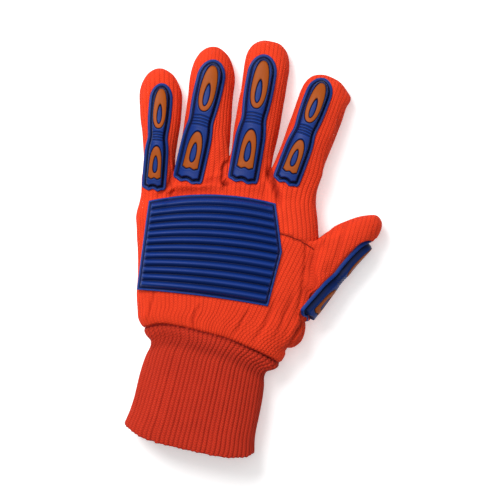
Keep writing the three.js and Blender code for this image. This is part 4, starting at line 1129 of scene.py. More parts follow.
class Guard:
    """One guard's outline and the seat that it lies on."""

    def __init__(self, guard, turn, centre):
        self.guard, self.turn, self.centre = guard, turn, centre
        self.length, self.width = guard["length"], guard["width"]
        self.stations = np.linspace(-2, self.length + 2, SEAT_STATIONS)
        self.spots = np.linspace(-self.width * 0.62, self.width * 0.62, SEAT_SPOTS)
        x, far = np.meshgrid(self.spots, self.stations)
        ridge = depth_under(turn, centre, 0 * self.stations, self.stations - self.length / 2)
        seat = depth_under(turn, centre, x.ravel(), far.ravel() - self.length / 2, MISSED).reshape(x.shape)
        seat = np.maximum(seat, ridge[:, None] - GUARD_BEND)
        self.seats = smoothed(smoothed(seat, 0, 3), 1, 2)
        if guard["digit"] == "thumb":
            self.straighten()

    def straighten(self):
        """Takes most of the bow out of the seat and sinks it, more towards the root."""
        bow, line = (np.polynomial.polynomial.polyfit(self.stations, self.seats, order) for order in (2, 1))
        bow[:2] = lerp(line, bow[:2], THUMB_BOW)
        bow[2] *= THUMB_BOW
        sink = THUMB_SINK["end"] * ease((THUMB_SINK["reach"] - self.stations) / THUMB_SINK["reach"])
        self.seats = np.polynomial.polynomial.polyval(self.stations, bow).T - THUMB_SINK["all"] - sink[:, None]

    def seat(self, x, far):
        """Height of the seat, read between its sampled stations and spots."""
        steps = [(line[1] - line[0]) for line in (self.stations, self.spots)]
        return bilinear(self.seats, (far - self.stations[0]) / steps[0], (x - self.spots[0]) / steps[1])

    def half(self, far):
        """Half of the guard's width at a distance from its lower end."""
        share = np.clip(far / self.length, 0, 1)
        narrow = 1 - (1 - self.guard["waist"]) * read(GUARD_LINE, "waist", share)
        start = self.length * (1 - GUARD_TIP)
        tip = rounded(np.clip((far - start) / (self.length - start), 0, 1), 2)
        corner = rounded(np.clip(1 - far / GUARD_CORNER["run"], 0, 1), GUARD_CORNER["roundness"])
        wide = self.width / 2 * read(GUARD_LINE, "wide", share) * narrow * tip
        return wide - GUARD_CORNER["in"] * (1 - corner)

    def wave(self, share):
        """The lower edge's two lobes and the notch between them."""
        turn = 2 * np.pi * (share + GUARD_WAVE["aside"])
        return GUARD_WAVE["depth"] * np.cos(turn) - GUARD_WAVE["slant"] * share

    def world(self, x, far, z):
        local = np.column_stack([x, far - self.length / 2, z])
        return local @ self.turn.T + self.centre


def press_under_guards(points):
    """Moves the cloth that lies under a guard to the guard's seat, so that nothing shows through."""
    for row, turn, centre in guard_frames():
        near = np.flatnonzero(np.linalg.norm(points - centre, axis=1) < 0.75 * row["length"])
        guard = Guard(row, turn, centre)
        local = (points[near] - centre) @ turn
        x, far = local[:, 0], local[:, 1] + guard.length / 2
        inside = np.minimum(guard.half(far) - np.abs(x), np.minimum(far, guard.length - far))
        seat = guard.seat(x, far) - SEAT_CLEAR
        thumb = row["digit"] == "thumb"
        press = THUMB_PRESS if thumb else PRESS
        move = np.clip(seat - local[:, 2], press["down"], press["up"])
        cover = ease((inside + press["margin"]) / press["run"]) * (np.abs(seat - local[:, 2]) < press["reach"])
        if thumb:
            cover *= np.where(move > 0, ease((far - press["rise_from"]) / press["rise_over"]), 1)
        points[near] += np.outer(move * cover, turn[:, 2])


def inlay_outline(guard, inlay, count=96):
    """Outline of an inlay: an egg near the fingertip, a bullet with a lobed foot near the knuckle."""
    low, high = inlay["low"] * guard.length, inlay["high"] * guard.length
    half = guard.width * INLAY_WIDTH / 2
    if not inlay["bullet"]:
        angle = np.linspace(0, 2 * np.pi, count, endpoint=False)
        x, y = (signed_power(turned, 2 / EGG["roundness"]) for turned in (np.cos(angle), np.sin(angle)))
        return np.column_stack([x * (1 - EGG["taper"] * y) * half, lerp(low, high, (y + 1) / 2)])
    step = np.linspace(0, 1, count // 3, endpoint=False)
    foot, angle, arch = 2 * step - 1, np.pi / 2 * step, lerp(low, high, BULLET["arch"])
    bottom = np.column_stack([foot * half, low + BULLET["lobes"] * np.cos(2 * np.pi * foot) - 0.1])
    right = np.column_stack([half * (1 - BULLET["taper"] * step), lerp(low + 0.35, arch, step)])
    round_x, round_y = np.cos(angle) ** BULLET["power_x"], np.sin(angle) ** BULLET["power_y"]
    curve = np.column_stack([BULLET["neck"] * half * round_x, arch + (high - arch) * round_y])
    left = np.vstack([right, curve, [[0.0, high]]])[:0:-1] * np.array([-1, 1])
    return np.vstack([bottom, right, curve, left])


def hole_outline(guard, inlay, count=40):
    low, high = inlay["low"] * guard.length, inlay["high"] * guard.length
    middle = lerp(low, high, inlay["hole"])
    angle = np.linspace(0, 2 * np.pi, count, endpoint=False)
    x = np.cos(angle) * guard.width * INLAY_WIDTH * HOLE_WIDTH / 2
    y = np.sin(angle) * (high - low) * inlay["long"] / 2
    return np.column_stack([x * (1 - HOLE_TAPER * np.sin(angle)), middle + y])


def grid_faces(rows, columns):
    index = np.arange(rows * columns).reshape(rows, columns)
    a, b, c, d = index[:-1, :-1], index[:-1, 1:], index[1:, 1:], index[1:, :-1]
    return np.column_stack([a.ravel(), b.ravel(), c.ravel(), d.ravel()])


def grid_border(index, step=1):
    """The numbers of a grid's outer points, in order round it."""
    return np.concatenate([
        index[0, :-1:step], index[:-1:step, -1], index[-1, :0:-step], index[:0:-step, 0]])


def closed_slab(top, bottom, rows, columns):
    """Points and faces of a closed slab between two grids of points."""
    faces = grid_faces(rows, columns)
    size = rows * columns
    border = grid_border(np.arange(size).reshape(rows, columns))
    after = np.roll(border, -1)
    sides = np.column_stack([after, border, border + size, after + size])
    return np.vstack([top, bottom]), np.vstack([faces, faces[:, ::-1] + size, sides]).tolist()


def lip_height(inward, settings):
    """Height of a lip with a rounded edge."""
    return settings.lip_height / MM * rounded(1 - np.clip(inward / LIP_ROUND, 0, 1), 2)


def crown_height(guard, x, settings):
    return settings.crown_height / MM - settings.crown_fall / MM * (x / (guard.width / 2)) ** 2


def guard_relief(guard, x, far, inward, settings):
    """Height of the guard over its seat, and its painted shade: lip, groove, crown and waist."""
    lip, edge = settings.lip_height / MM, settings.lip_width / MM
    height = lip_height(inward, settings) - LIP_FALL * ease(inward / edge)
    height -= GROOVE["depth"] * bell((inward - edge - GROOVE["past_lip"]) / GROOVE["width"])
    raised = ease((inward - edge - SHOULDER["past_lip"]) / SHOULDER["width"])
    height += (crown_height(guard, x, settings) - lip) * raised
    # Painted shade in the groove inside the lip and down the crown's slope beside it
    hollow = bell((inward - edge - GUARD_DARK["line"]) / GUARD_DARK["width"])
    slope = 1 - ease((inward - edge - GUARD_DARK["slope_from"]) / GUARD_DARK["slope_run"])
    hollow = np.maximum(hollow, GUARD_DARK["slope"] * slope * (inward > edge))
    share = x / guard.half(far).clip(0.5)
    for step in range(WAIST_GROOVES["count"]):
        station = guard.length * (WAIST_GROOVES["first"] + WAIST_GROOVES["step"] * step)
        arch = WAIST_GROOVES["arch"] * (1 - share ** 2)
        line = bell((far - station - arch + 0.4) / WAIST_GROOVES["width"]) * raised
        height -= settings.waist_groove / MM * line
        # Painted shade in the waist grooves
        hollow = np.maximum(hollow, 0.75 * line)
    return height, hollow


def guard_grid(guard):
    """A guard's grid in plan, closer at its ends and sides, and its border."""
    straight = np.linspace(0, guard.length * (1 - GUARD_TIP), GUARD_ROWS)
    angle = np.linspace(0, np.pi / 2 * 0.985, GUARD_TIP_ROWS + 1)[1:]
    tip = guard.length * (1 - GUARD_TIP) + guard.length * GUARD_TIP * np.sin(angle)
    level = np.concatenate([GUARD_FIRST_ROWS, straight[straight > 1.5], tip])
    even = np.linspace(-1, 1, GUARD_COLUMNS + 1)
    share = np.sin(even * np.pi / 2 * GUARD_SPREAD) / math.sin(np.pi / 2 * GUARD_SPREAD)
    s, base = np.meshgrid(share, level)
    far = base + guard.wave(s) * (1 - ease(base / GUARD_WAVE["reach"])) + GUARD_WAVE["start"]
    x = s * guard.half(base)
    border = grid_border(np.arange(x.size).reshape(x.shape))
    return x, far, np.column_stack([x.ravel()[border], far.ravel()[border]])


def build_guard(guard, settings):
    """One moulded guard as a fine relief over its digit, with beds for its inlays."""
    x, far, border = guard_grid(guard)
    rows, columns = far.shape
    x, far = x.ravel(), far.ravel()
    xy = np.column_stack([x, far])
    inward = np.maximum(-signed_distance(xy, border), 0)
    height, hollow = guard_relief(guard, x, far, inward, settings)
    for inlay in INLAYS:
        edge = signed_distance(xy, inlay_outline(guard, inlay))
        hole = signed_distance(xy, hole_outline(guard, inlay))
        bed = np.clip(-edge / 0.3 + 0.4, 0, 1) * np.clip(hole / 0.25 + 0.4, 0, 1)
        height -= INLAY_BED * bed
        height += INLAY_RIM["rise"] * bell((edge - INLAY_RIM["out"]) / INLAY_RIM["width"])
        # Painted shade round the inlay's edge and in its hole
        hollow = np.maximum(hollow, np.maximum(bell((edge - 0.05) / 0.4), bell(hole / 0.4) * (edge < 0)))
    seat = guard.seat(x, far)
    top = guard.world(x, far, seat + height)
    bottom = guard.world(x, far, seat - GUARD_SINK)
    points, faces = closed_slab(top, bottom, rows, columns)
    digit = guard.guard["digit"]
    hollow = np.concatenate([hollow, hollow])
    material = rubber("guard_rubber", settings)
    obj = mesh_object(f"moulded_guard_{digit}", points, faces, material, hollow=hollow)
    return settle(obj, "guard_rubber", f"guard_{digit}")


def build_inlay(guard, inlay, settings):
    """A ring-shaped inlay with rounded edges, let into the guard's crown."""
    outer, inner = inlay_outline(guard, inlay), hole_outline(guard, inlay, 72)
    middle = inner.mean(axis=0)
    turns = [np.arctan2(*(ring - middle).T[::-1]) for ring in (outer, inner)]
    order, sort = (np.argsort(turn) for turn in turns)
    outer, angle = outer[order], turns[0][order]
    radius = np.linalg.norm(inner - middle, axis=1)
    radius = np.interp(angle, turns[1][sort], radius[sort], period=2 * np.pi)
    inner = middle + np.column_stack([np.cos(angle), np.sin(angle)]) * radius[:, None]
    points, hollow = [], []
    for t, lift, dark in INLAY_RINGS:
        x, far = lerp(outer, inner, t).T
        points.append(guard.world(x, far, guard.seat(x, far) + crown_height(guard, x, settings) + lift))
        # Each ring keeps its painted shade, darkest where it sinks below the crown
        hollow += [dark] * len(angle)
    index = np.arange(len(hollow)).reshape(-1, len(angle))
    faces = ring_quads(np.vstack([index, index[:1]])).tolist()
    digit = guard.guard["digit"]
    name = f"moulded_inlay_{digit}_{inlay['name']}"
    material = rubber("inlay_rubber", settings)
    obj = mesh_object(name, np.vstack(points), faces, material, hollow=np.array(hollow))
    return settle(obj, "inlay_rubber", f"inlay_{digit}_{inlay['name']}")


RUBBERS = {}


def rubber(slot, settings):
    """The rubber of the guards and the pad or of the inlays, made once."""
    if slot not in RUBBERS:
        # Each rubber's base colour, and its painted highlight colour for raised edges
        name, base, worn, rough = {
            "guard_rubber": ("moulded_blue_rubber", settings.blue, settings.blue_worn, 0.42),
            "inlay_rubber": ("moulded_copper_rubber", settings.copper, settings.copper_worn, 0.5),
        }[slot]
        RUBBERS[slot] = rubber_material(name, base, worn, rough)
    return RUBBERS[slot]


def build_guards(settings):
    """The guard and the inlays of each digit."""
    for row, turn, centre in guard_frames():
        guard = Guard(row, turn, centre)
        build_guard(guard, settings)
        for inlay in INLAYS:
            build_inlay(guard, inlay, settings)


def placed(pair):
    """A place in plan from shares of the palm's width and length."""
    return np.array([pair[0] * PALM_WIDTH, pair[1] * PALM_LENGTH])


def pad_plan(u, v):
    """The pad's surface in plan: u from left to right, v from its lower to its upper edge."""
    low, high, point = placed(PAD["bottom_right"]), placed(PAD["top_right"]), placed(PAD["point"])
    turn = (point[1] - low[1]) / (high[1] - low[1])
    below = lerp(low, point, (v / turn)[:, None])
    above = lerp(point, high, ((v - turn) / (1 - turn))[:, None])
    right = np.where((v < turn)[:, None], below, above)
    left = lerp(placed(PAD["bottom_left"]), placed(PAD["top_left"]), v[:, None])
    plan = lerp(left, right, u[:, None])
    plan[:, 1] += 4 * u * (1 - u) * lerp(PAD_BOTTOM_ARCH, PAD_TOP_ARCH, v) * PALM_LENGTH
    return plan


def pad_relief(v, inward, settings):
    """Height of the pad over its seat and its painted shade: lip, groove and ridges."""
    ends = placed(PAD["top_left"])[1] - placed(PAD["bottom_left"])[1]
    edge = settings.pad_lip / MM
    margin = (edge + 0.3) / ends
    phase = np.clip((v - margin) / (1 - 2 * margin), 0, 1) * settings.ridges % 1
    crest = np.abs(np.sin(np.pi * phase ** RIDGE["lean"])) ** RIDGE["roundness"]
    height = lip_height(inward, settings)
    height -= PAD_GROOVE["depth"] * bell((inward - edge - PAD_GROOVE["past_lip"]) / PAD_GROOVE["width"])
    inside = ease((inward - edge - PAD_SHOULDER["past_lip"]) / PAD_SHOULDER["width"])
    valley = settings.pad_valley / MM
    height = lerp(height, valley + (settings.pad_height / MM - valley) * crest, inside)
    # Painted shade in the valleys and on the lower side of each ridge
    below = PAD_DARK["below"] * (1 - ease((phase - PAD_DARK["phase"]) / PAD_DARK["phase"]))
    shaded = np.maximum((1 - crest) ** PAD_DARK["power"], below) * inside
    line = bell((inward - edge - PAD_DARK["line"]) / PAD_DARK["width"])
    return height, np.maximum(PAD_DARK["groove"] * line, shaded)


def pad_seat(u, v):
    """Height of the cloth under the pad, read between sampled spots; the pad bends less than the cloth."""
    spots = np.linspace(0, 1, PAD_SPOTS)
    gu, gv = np.meshgrid(spots, spots)
    x, y = pad_plan(gu.ravel(), gv.ravel()).T
    x = lerp(x, 0, PAD_STIFF)
    crown, seat = (depth_under(np.eye(3), np.zeros(3), across, y) for across in (0 * x, x))
    seat = np.maximum(seat, crown - PAD_BEND).reshape(gu.shape)
    return bilinear(seat, v * (PAD_SPOTS - 1), u * (PAD_SPOTS - 1))


def build_pad(settings):
    """The ribbed pad: a flat lip, a groove, and arched half-round ridges inside it."""
    even = np.linspace(0, 1, PAD_COLUMNS + 1)
    crowded = (1 - np.cos(np.pi * even)) / 2 * PAD_CROWD + even * (1 - PAD_CROWD)
    u, v = np.meshgrid(crowded, np.linspace(0, 1, PAD_ROWS + 1))
    rows, columns = u.shape
    u, v = u.ravel(), v.ravel()
    plan = pad_plan(u, v)
    border = grid_border(np.arange(rows * columns).reshape(rows, columns), 4)
    inward = np.maximum(-signed_distance(plan, plan[border]), 0)
    height, hollow = pad_relief(v, inward, settings)
    base = pad_seat(u, v)
    points, faces = closed_slab(
        np.column_stack([plan, base + height]), np.column_stack([plan, base - PAD_SINK]), rows, columns)
    hollow = np.concatenate([hollow, hollow])
    obj = mesh_object("moulded_back_pad", points, faces, rubber("guard_rubber", settings), hollow=hollow)
    return settle(obj, "guard_rubber", "back_pad")


def around(section, share):
    """Places round a section, from one side over the top and back underneath."""
    w, v = section(1 - np.abs(1 - 2 * share))
    return w, np.where(share < 0.5, v, -v)


def cuff_ways():
    """The cuff's own directions in plan: along it towards the hem, and across it."""
    turn = math.radians(CUFF_TURN)
    return np.array([-math.sin(turn), -math.cos(turn)]), np.array([math.cos(turn), -math.sin(turn)])


def cuff_points(f, share, inset):
    """Points of the cuff and their distance from the seam: f runs from the seam to the hem."""
    along, across = cuff_ways()
    seam = sack_point(0.0, *around(sack_section(0.0), share))
    left = BODY_LINE["left"][0] * PALM_WIDTH
    right = BODY_LINE["right"][0] * PALM_WIDTH
    shrink = 1 - 2 * (inset + CUFF_TUCK) / (right - left)
    seam[:, 0] = lerp((left + right) / 2, seam[:, 0], shrink)
    waist = BODY_LINE["crown"][0] * PALM_HEIGHT / 2
    seam[:, 2] = lerp(waist, seam[:, 2], max(1 - (inset + CUFF_TUCK) / waist, 0))
    w, v = around(half_section(CUFF_WIDTH / 2, CUFF_HEIGHT / 2, ROUNDNESS), share)
    neck = placed(CUFF_NECK)
    start = (seam[:, :2] - neck) @ along
    end = CUFF_LENGTH - HEM_CORNER * np.abs(w) ** HEM_SQUARE
    s = lerp(start, end, f)
    station = s / CUFF_LENGTH
    half = read(CUFF_LINE, "wide", station) * CUFF_WIDTH / 2 - inset
    high = read(CUFF_LINE, "high", station) * CUFF_HEIGHT / 2
    free = neck + np.outer(s, along) + np.outer(w * half, across)
    z = np.maximum(high + v * (high + CUFF_PRESS - inset), inset)
    below = seam.copy()
    below[:, :2] += np.outer(s - start, along)
    below[:, 2] = np.maximum(below[:, 2], inset)
    blend = ease((s - start) / CUFF_RUN)[:, None]
    return lerp(below, np.column_stack([free, z]), blend), s - start


def cuff_relief(points, normals, far, rib, uneven, settings):
    """How far the cuff stands out from its smooth surface: ribs, the flare, the neck and soft waves."""
    depth = settings.rib_depth / MM
    height = depth * (cord_profile(rib) - CORD_MEAN) + RIB_UNEVEN * uneven * depth
    for band in CUFF_BANDS:
        height += band["rise"] * bell((far - band["far"]) / band["width"])
    height += CUFF_WAVES * waves(points * np.array([1, 0.6, 1]), *WAVES["cuff"])
    return normals * off_floor(points, height, 0.2)[:, None]


def cuff_lining(ribs, start):
    """The cuff's inside: its points, its faces turned inwards, their place in the knit, and its rings."""
    rows = CUFF_ROWS // CUFF_LINING_STEP
    levels = [lerp(CUFF_TUCKED[0][0], 1, row / rows) for row in range(rows + 1)]
    points = np.vstack([cuff_points(f, np.arange(ribs) / ribs, CUFF_WALL)[0] for f in levels])
    rings = np.arange(len(points)).reshape(-1, ribs) + start
    faces = ring_quads(rings)
    row, k = np.divmod(np.arange(len(faces)), ribs)
    low, high = CUFF_LINING_STEP * row, CUFF_LINING_STEP * (row + 1)
    return points, faces, np.array([[k, k + 1, k + 1, k], [low, low, high, high]]).T.reshape(-1, 2), rings


def build_cuff(settings):
    """The ribbed cuff: a band that flares at the seam, a narrow neck, and a hem that waves slightly."""
    ribs = settings.ribs
    size = ribs * CUFF_SAMPLES
    share, rib = np.arange(size) / size, np.arange(size) / CUFF_SAMPLES
    free = np.linspace(0.003, 1, CUFF_ROWS + 1 - len(CUFF_TUCKED))
    rings = [
        cuff_points(f, (share + CUFF_LEAN * (1 - ease(f / 0.24))) % 1, inset)
        for f, inset in [*CUFF_TUCKED, *((f, 0.0) for f in free)]
    ]
    points = np.vstack([ring for ring, _ in rings])
    lengths = np.array([far for _, far in rings])
    index = np.arange(len(points)).reshape(-1, size)
    quads = ring_quads(index)[:, [0, 3, 2, 1]]
    uneven = np.random.default_rng(11).normal(size=ribs)[np.floor(rib + 1e-6).astype(int) % ribs]
    tiled = [np.tile(values, CUFF_ROWS + 1) for values in (rib, uneven)]
    far = lengths.ravel()
    moved = points + cuff_relief(points, point_normals(points, quads), far, *tiled, settings)
    hem = HEM_SCALLOP * np.sin(2 * np.pi * rib) + HEM_UNEVEN * uneven
    last = ease((np.linspace(0, 1, CUFF_ROWS + 1) - 0.9) / 0.1)
    moved += np.outer(np.outer(last, hem).ravel(), np.append(cuff_ways()[0], 0))
    moved[:, 2] = np.maximum(moved[:, 2], 0)
    inner, inner_faces, inner_uvs, loops = cuff_lining(ribs, len(moved))
    top, bottom = (zip_rims(index[end].tolist(), loops[end].tolist()) for end in (0, -1))
    rims = [face[::-1] for face in top] + bottom
    cords = np.tile(np.column_stack([rib, rib, rib + 1 / CUFF_SAMPLES, rib + 1 / CUFF_SAMPLES]), (CUFF_ROWS, 1))
    uvs = np.stack([cords, ring_quads(lengths)[:, [0, 3, 2, 1]]], axis=-1).reshape(-1, 2)
    uvs = np.vstack([uvs, inner_uvs, np.tile([0.5, 0.0], (sum(map(len, rims)), 1))])
    # Painted shade at the seam and in the neck
    hollow = np.max([band["dark"] * bell((far - band["far"]) / band["width"]) for band in CUFF_DARK], axis=0)
    hollow = np.concatenate([hollow, np.zeros(len(inner))])
    knit = knit_material("ribbed_knit", settings.bright, settings.shade, *KNITS["cuff"])
    faces = quads.tolist() + inner_faces.tolist() + rims
    obj = mesh_object("ribbed_cuff", np.vstack([moved, inner]), faces, knit, uvs, hollow)
    return settle(obj, "cuff_knit", "knit_cuff")


def seam_paths():
    """The stitched lines: the seam on the back, and the upper half of the seam at the cuff."""
    far = walked(BACK_SEAM)
    steps = np.linspace(0, far[-1], 60)
    x, y = (np.interp(steps, far, line) for line in np.transpose(BACK_SEAM))
    yield np.column_stack([x, y, depth_under(np.eye(3), np.zeros(3), x, y)])
    share = np.linspace(0.035, 0.465, 170)
    yield sack_point(0.0, *around(sack_section(0.0), share)) - np.array([0, 0, STITCH["sunk"]])


def stitch_rings(line, radius, bulge):
    """Rings of points round a stitch's line, thinner towards its ends."""
    turn = np.linspace(0, 2 * np.pi, STITCH_SIDES + 1)[:-1]
    along = np.gradient(line, axis=0)
    along /= np.linalg.norm(along, axis=1)[:, None]
    side = np.cross(along, [0, 0, 1])
    side /= np.linalg.norm(side, axis=1)[:, None]
    for spot, aside, up, wide in zip(line, side, np.cross(side, along), bulge):
        ring = np.outer(np.cos(turn), aside) + np.outer(np.sin(turn), up)
        yield spot + ring * radius * (0.35 + 0.65 * wide)


def build_seams(settings):
    """Sunken thread along the seams: short overlapping stitches that follow the cloth."""
    rng = np.random.default_rng(23)
    points, faces, uvs = [], [], []
    bulge = np.sin(np.linspace(0.12, np.pi - 0.12, STITCH_SPOTS))
    round_share = np.tile(np.arange(STITCH_SIDES) / STITCH_SIDES, (STITCH_SPOTS, 1))
    for path in seam_paths():
        far = walked(path)
        for k in range(int(far[-1] / (settings.stitch / MM))):
            ends = (k + np.array(STITCH["span"]) + rng.normal(0, STITCH["uneven"], 2)) * settings.stitch / MM
            at = np.linspace(*np.clip(ends, 0, far[-1]), STITCH_SPOTS)
            line = np.column_stack([np.interp(at, far, path[:, axis]) for axis in range(3)])
            line[:, :2] += rng.normal(0, STITCH["wander"], 2)
            line[:, 2] += STITCH["bulge"] * bulge - STITCH["sunk"]
            index = np.arange(STITCH_SPOTS * STITCH_SIDES).reshape(STITCH_SPOTS, STITCH_SIDES) + len(points)
            for ring in stitch_rings(line, settings.thread / 2 / MM, bulge):
                points.extend(ring)
            along = np.tile(at[:, None], (1, STITCH_SIDES))
            faces += ring_quads(index).tolist() + [index[0, ::-1].tolist(), index[-1].tolist()]
            uvs += np.stack([ring_quads(round_share), ring_quads(along)], axis=-1).reshape(-1, 2).tolist()
            uvs += [(0.5, at[0])] * (2 * STITCH_SIDES)
    # The thread's dark colour is partly its own and partly painted shade of the seam's gap
    thread = knit_material("seam_thread", settings.colour, settings.colour, *KNITS["thread"])
    obj = mesh_object("seam_stitches", np.array(points), faces, thread, uvs)
    return settle(obj, "cord_knit")


def area_light(name, place, size, power):
    """A round white light aimed at the middle of the glove."""
    data = bpy.data.lights.new(name, "AREA")
    data.shape = "DISK"
    data.size, data.energy = size, power
    obj = bpy.data.objects.new(name, data)
    obj.location = place
    obj.rotation_euler = (Vector(VIEW_CENTRE) - Vector(place)).to_track_quat("-Z", "Y").to_euler()
    bpy.context.scene.collection.objects.link(obj)


def build_floor(settings):
    """A pale floor, faintly uneven in tone, that glows a little."""
    m = Nodes("studio_floor")
    pale = settings.floor_colour
    tone = m.blend(m.noise(m.place(), *NOISES["floor"]), colour(pale), colour(pale, share=0.985))
    m.surface(
        Base_Color=tone, Roughness=0.9, Specular_IOR_Level=0.0,
        Emission_Color=(1, 1, 1, 1), Emission_Strength=settings.floor_glow)
    half = settings.floor_size / 2 / MM
    corners = [(-half, -half, -0.05), (half, -half, -0.05), (half, half, -0.05), (-half, half, -0.05)]
    floor = mesh_object("studio_floor", corners, [[0, 1, 2, 3]], m.material)


def build_camera(settings):
    camera = bpy.data.cameras.new("camera")
    camera.sensor_width = SENSOR_WIDTH
    camera.lens = SENSOR_WIDTH * (settings.distance - VIEW_CENTRE[2]) / settings.view_width
    camera.clip_end = CLIP_END
    obj = bpy.data.objects.new("camera", camera)
    obj.location = (VIEW_CENTRE[0], VIEW_CENTRE[1], settings.distance)
    bpy.context.scene.collection.objects.link(obj)
    bpy.context.scene.camera = obj


def build_stage(settings):
    """A pale floor, soft light from the upper left, and the camera straight above."""
    build_floor(settings)
    world = bpy.data.worlds.new("studio_light")
    world.use_nodes = True
    back = world.node_tree.nodes["Background"]
    back.inputs["Color"].default_value = (1, 1, 1, 1)
    back.inputs["Strength"].default_value = settings.fill
    bpy.context.scene.world = world
    bpy.context.scene.view_settings.view_transform = "Standard"
    for light in LIGHTS:
        area_light(light["name"], light["place"], light["size"], settings.key * light["share"])
    build_camera(settings)


def number_property(label, description, value, **more):
    return bpy.props.FloatProperty(name=label, description=description, default=value, min=0.0, **more)


def length_property(label, description, value):
    return number_property(label, description, value, unit="LENGTH", subtype="DISTANCE", precision=4)


def colour_property(label, description, value):
    return bpy.props.FloatVectorProperty(
        name=label, description=description, default=value, min=0.0, max=1.0, size=3, subtype="COLOR")


class GLOVE_PG_hand(bpy.types.PropertyGroup):
    cord_depth: length_property("Cord depth", "Height of a cord over its grooves", 0.0003)
    thumb_pitch: length_property("Thumb cord pitch", "Spacing of the cords on the thumb", 0.0027)
    wrinkle_depth: length_property("Wrinkle depth", "Depth of the soft wrinkles", 0.0005)
    bright: colour_property("Bright cloth", "Colour of the cords", (0.80, 0.050, 0.0135))
    # The groove colour is the painted shade of the grooves, the gaps between stitches and the creases
    shade: colour_property("Groove cloth", "Colour between the cords", (0.40, 0.014, 0.008))


class GLOVE_PG_rubber(bpy.types.PropertyGroup):
    lip_height: length_property("Lip height", "Height of the low lip round a guard", 0.0017)
    lip_width: length_property("Lip width", "Width of the low lip round a guard", 0.0019)
    crown_height: length_property("Crown height", "Height of a guard's raised body", 0.0052)
    crown_fall: length_property("Crown fall", "How much the raised body falls to its sides", 0.0009)
    waist_groove: length_property("Waist groove", "Depth of the grooves over the waist", 0.0009)
    pad_height: length_property("Ridge height", "Height of the pad's ridges", 0.0044)
    pad_valley: length_property("Valley height", "Height of the pad between its ridges", 0.0018)
    pad_lip: length_property("Pad lip", "Width of the pad's flat lip", 0.0015)
    ridges: bpy.props.IntProperty(name="Ridges", description="Ridges across the pad", default=12, min=1)
    blue: colour_property("Blue rubber", "Colour of the guards and the pad", (0.0045, 0.025, 0.168))
    # A painted highlight along the raised edges of the guards and the pad
    blue_worn: colour_property("Worn blue", "Blue rubber along raised edges", (0.010, 0.055, 0.29))
    copper: colour_property("Copper rubber", "Colour of the inlays", (0.315, 0.061, 0.0035))
    # A painted highlight along the raised edges of the inlays
    copper_worn: colour_property("Worn copper", "Copper rubber along raised edges", (0.36, 0.08, 0.009))


class GLOVE_PG_cuff(bpy.types.PropertyGroup):
    ribs: bpy.props.IntProperty(name="Ribs", description="Ribs round the cuff", default=68, min=12)
    rib_depth: length_property("Rib depth", "Height of a rib over its grooves", 0.00055)
    bright: colour_property("Bright cuff", "Colour of the ribs", (0.57, 0.036, 0.014))
    # The groove colour is the painted shade of the grooves between the ribs, the gaps between stitches, the seam
    # and the neck
    shade: colour_property("Groove cuff", "Colour between the ribs", (0.15, 0.005, 0.005))


class GLOVE_PG_seams(bpy.types.PropertyGroup):
    thread: length_property("Thread", "Thickness of the seam thread", 0.0007)
    stitch: length_property("Stitch", "Length of a stitch", 0.0024)
    # Partly the thread's own colour, partly painted shade of the seam's gap
    colour: colour_property("Thread colour", "Colour of the seam thread", (0.20, 0.008, 0.005))


class GLOVE_PG_stage(bpy.types.PropertyGroup):
    floor_size: length_property("Floor size", "Side of the floor", 6.0)
    floor_colour: colour_property("Floor colour", "Colour of the floor", (0.9, 0.9, 0.9))
    floor_glow: number_property("Floor glow", "Light that the floor gives off", 0.35)
    distance: length_property("Camera height", "Height of the camera over the floor", 2.0)
    view_width: length_property("View width", "Width that the camera sees", 0.325)
    key: number_property("Key light", "Power of the main light", 19.5, unit="POWER")
    fill: number_property("Fill", "Strength of the light from all round", 0.24)


class Piecework:
    """Runs an operator's own build function on its settings."""

    def execute(self, context):
        self.build(getattr(context.scene, self.group))
        return {"FINISHED"}


class GLOVE_OT_hand(Piecework, bpy.types.Operator):
    """Makes the corded knit of the hand, fingers and thumb"""

    bl_idname = "glove.hand"
    bl_label = "Corded hand"
    group = "glove_hand"
    build = staticmethod(build_shell)


class GLOVE_OT_guards(Piecework, bpy.types.Operator):
    """Makes the moulded guard and the two inlays of each digit"""

    bl_idname = "glove.guards"
    bl_label = "Guards and inlays"
    group = "glove_rubber"
    build = staticmethod(build_guards)


class GLOVE_OT_pad(Piecework, bpy.types.Operator):
    """Makes the ribbed pad on the back of the hand"""

    bl_idname = "glove.pad"
    bl_label = "Back pad"
    group = "glove_rubber"
    build = staticmethod(build_pad)


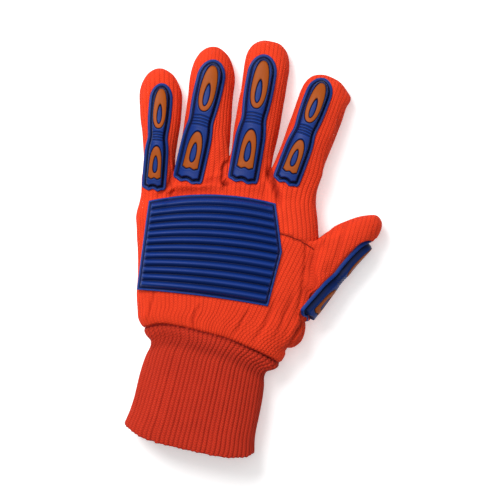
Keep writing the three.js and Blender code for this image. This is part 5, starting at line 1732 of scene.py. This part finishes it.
class GLOVE_OT_cuff(Piecework, bpy.types.Operator):
    """Makes the ribbed knit cuff"""

    bl_idname = "glove.cuff"
    bl_label = "Knit cuff"
    group = "glove_cuff"
    build = staticmethod(build_cuff)


class GLOVE_OT_seams(Piecework, bpy.types.Operator):
    """Makes the stitches of the seams"""

    bl_idname = "glove.seams"
    bl_label = "Seam stitches"
    group = "glove_seams"
    build = staticmethod(build_seams)


class GLOVE_OT_stage(Piecework, bpy.types.Operator):
    """Makes the floor, the lights and the camera"""

    bl_idname = "glove.stage"
    bl_label = "Stage"
    group = "glove_stage"
    build = staticmethod(build_stage)


GROUPS = {
    "glove_hand": GLOVE_PG_hand,
    "glove_rubber": GLOVE_PG_rubber,
    "glove_cuff": GLOVE_PG_cuff,
    "glove_seams": GLOVE_PG_seams,
    "glove_stage": GLOVE_PG_stage,
}
OPERATORS = [GLOVE_OT_hand, GLOVE_OT_guards, GLOVE_OT_pad, GLOVE_OT_cuff, GLOVE_OT_seams, GLOVE_OT_stage]


class GLOVE_PT_panel(bpy.types.Panel):
    """Lists the glove's pieces and sizes in the sidebar"""

    bl_idname = "GLOVE_PT_panel"
    bl_label = "Impact glove"
    bl_space_type = "VIEW_3D"
    bl_region_type = "UI"
    bl_category = "Glove"

    def draw(self, context):
        for group, kind in GROUPS.items():
            box = self.layout.box()
            for operator in OPERATORS:
                if operator.group == group:
                    box.operator(operator.bl_idname)
            for name in kind.__annotations__:
                box.prop(getattr(context.scene, group), name)


CLASSES = [*GROUPS.values(), *OPERATORS, GLOVE_PT_panel]


def register():
    for cls in CLASSES:
        bpy.utils.register_class(cls)
    for name, group in GROUPS.items():
        setattr(bpy.types.Scene, name, bpy.props.PointerProperty(type=group))


def unregister():
    for name in GROUPS:
        delattr(bpy.types.Scene, name)
    for cls in reversed(CLASSES):
        bpy.utils.unregister_class(cls)


def main():
    register()
    bpy.ops.glove.stage()
    bpy.ops.glove.hand()
    bpy.ops.glove.guards()
    bpy.ops.glove.pad()
    bpy.ops.glove.cuff()
    bpy.ops.glove.seams()


if __name__ == "__main__":
    main()
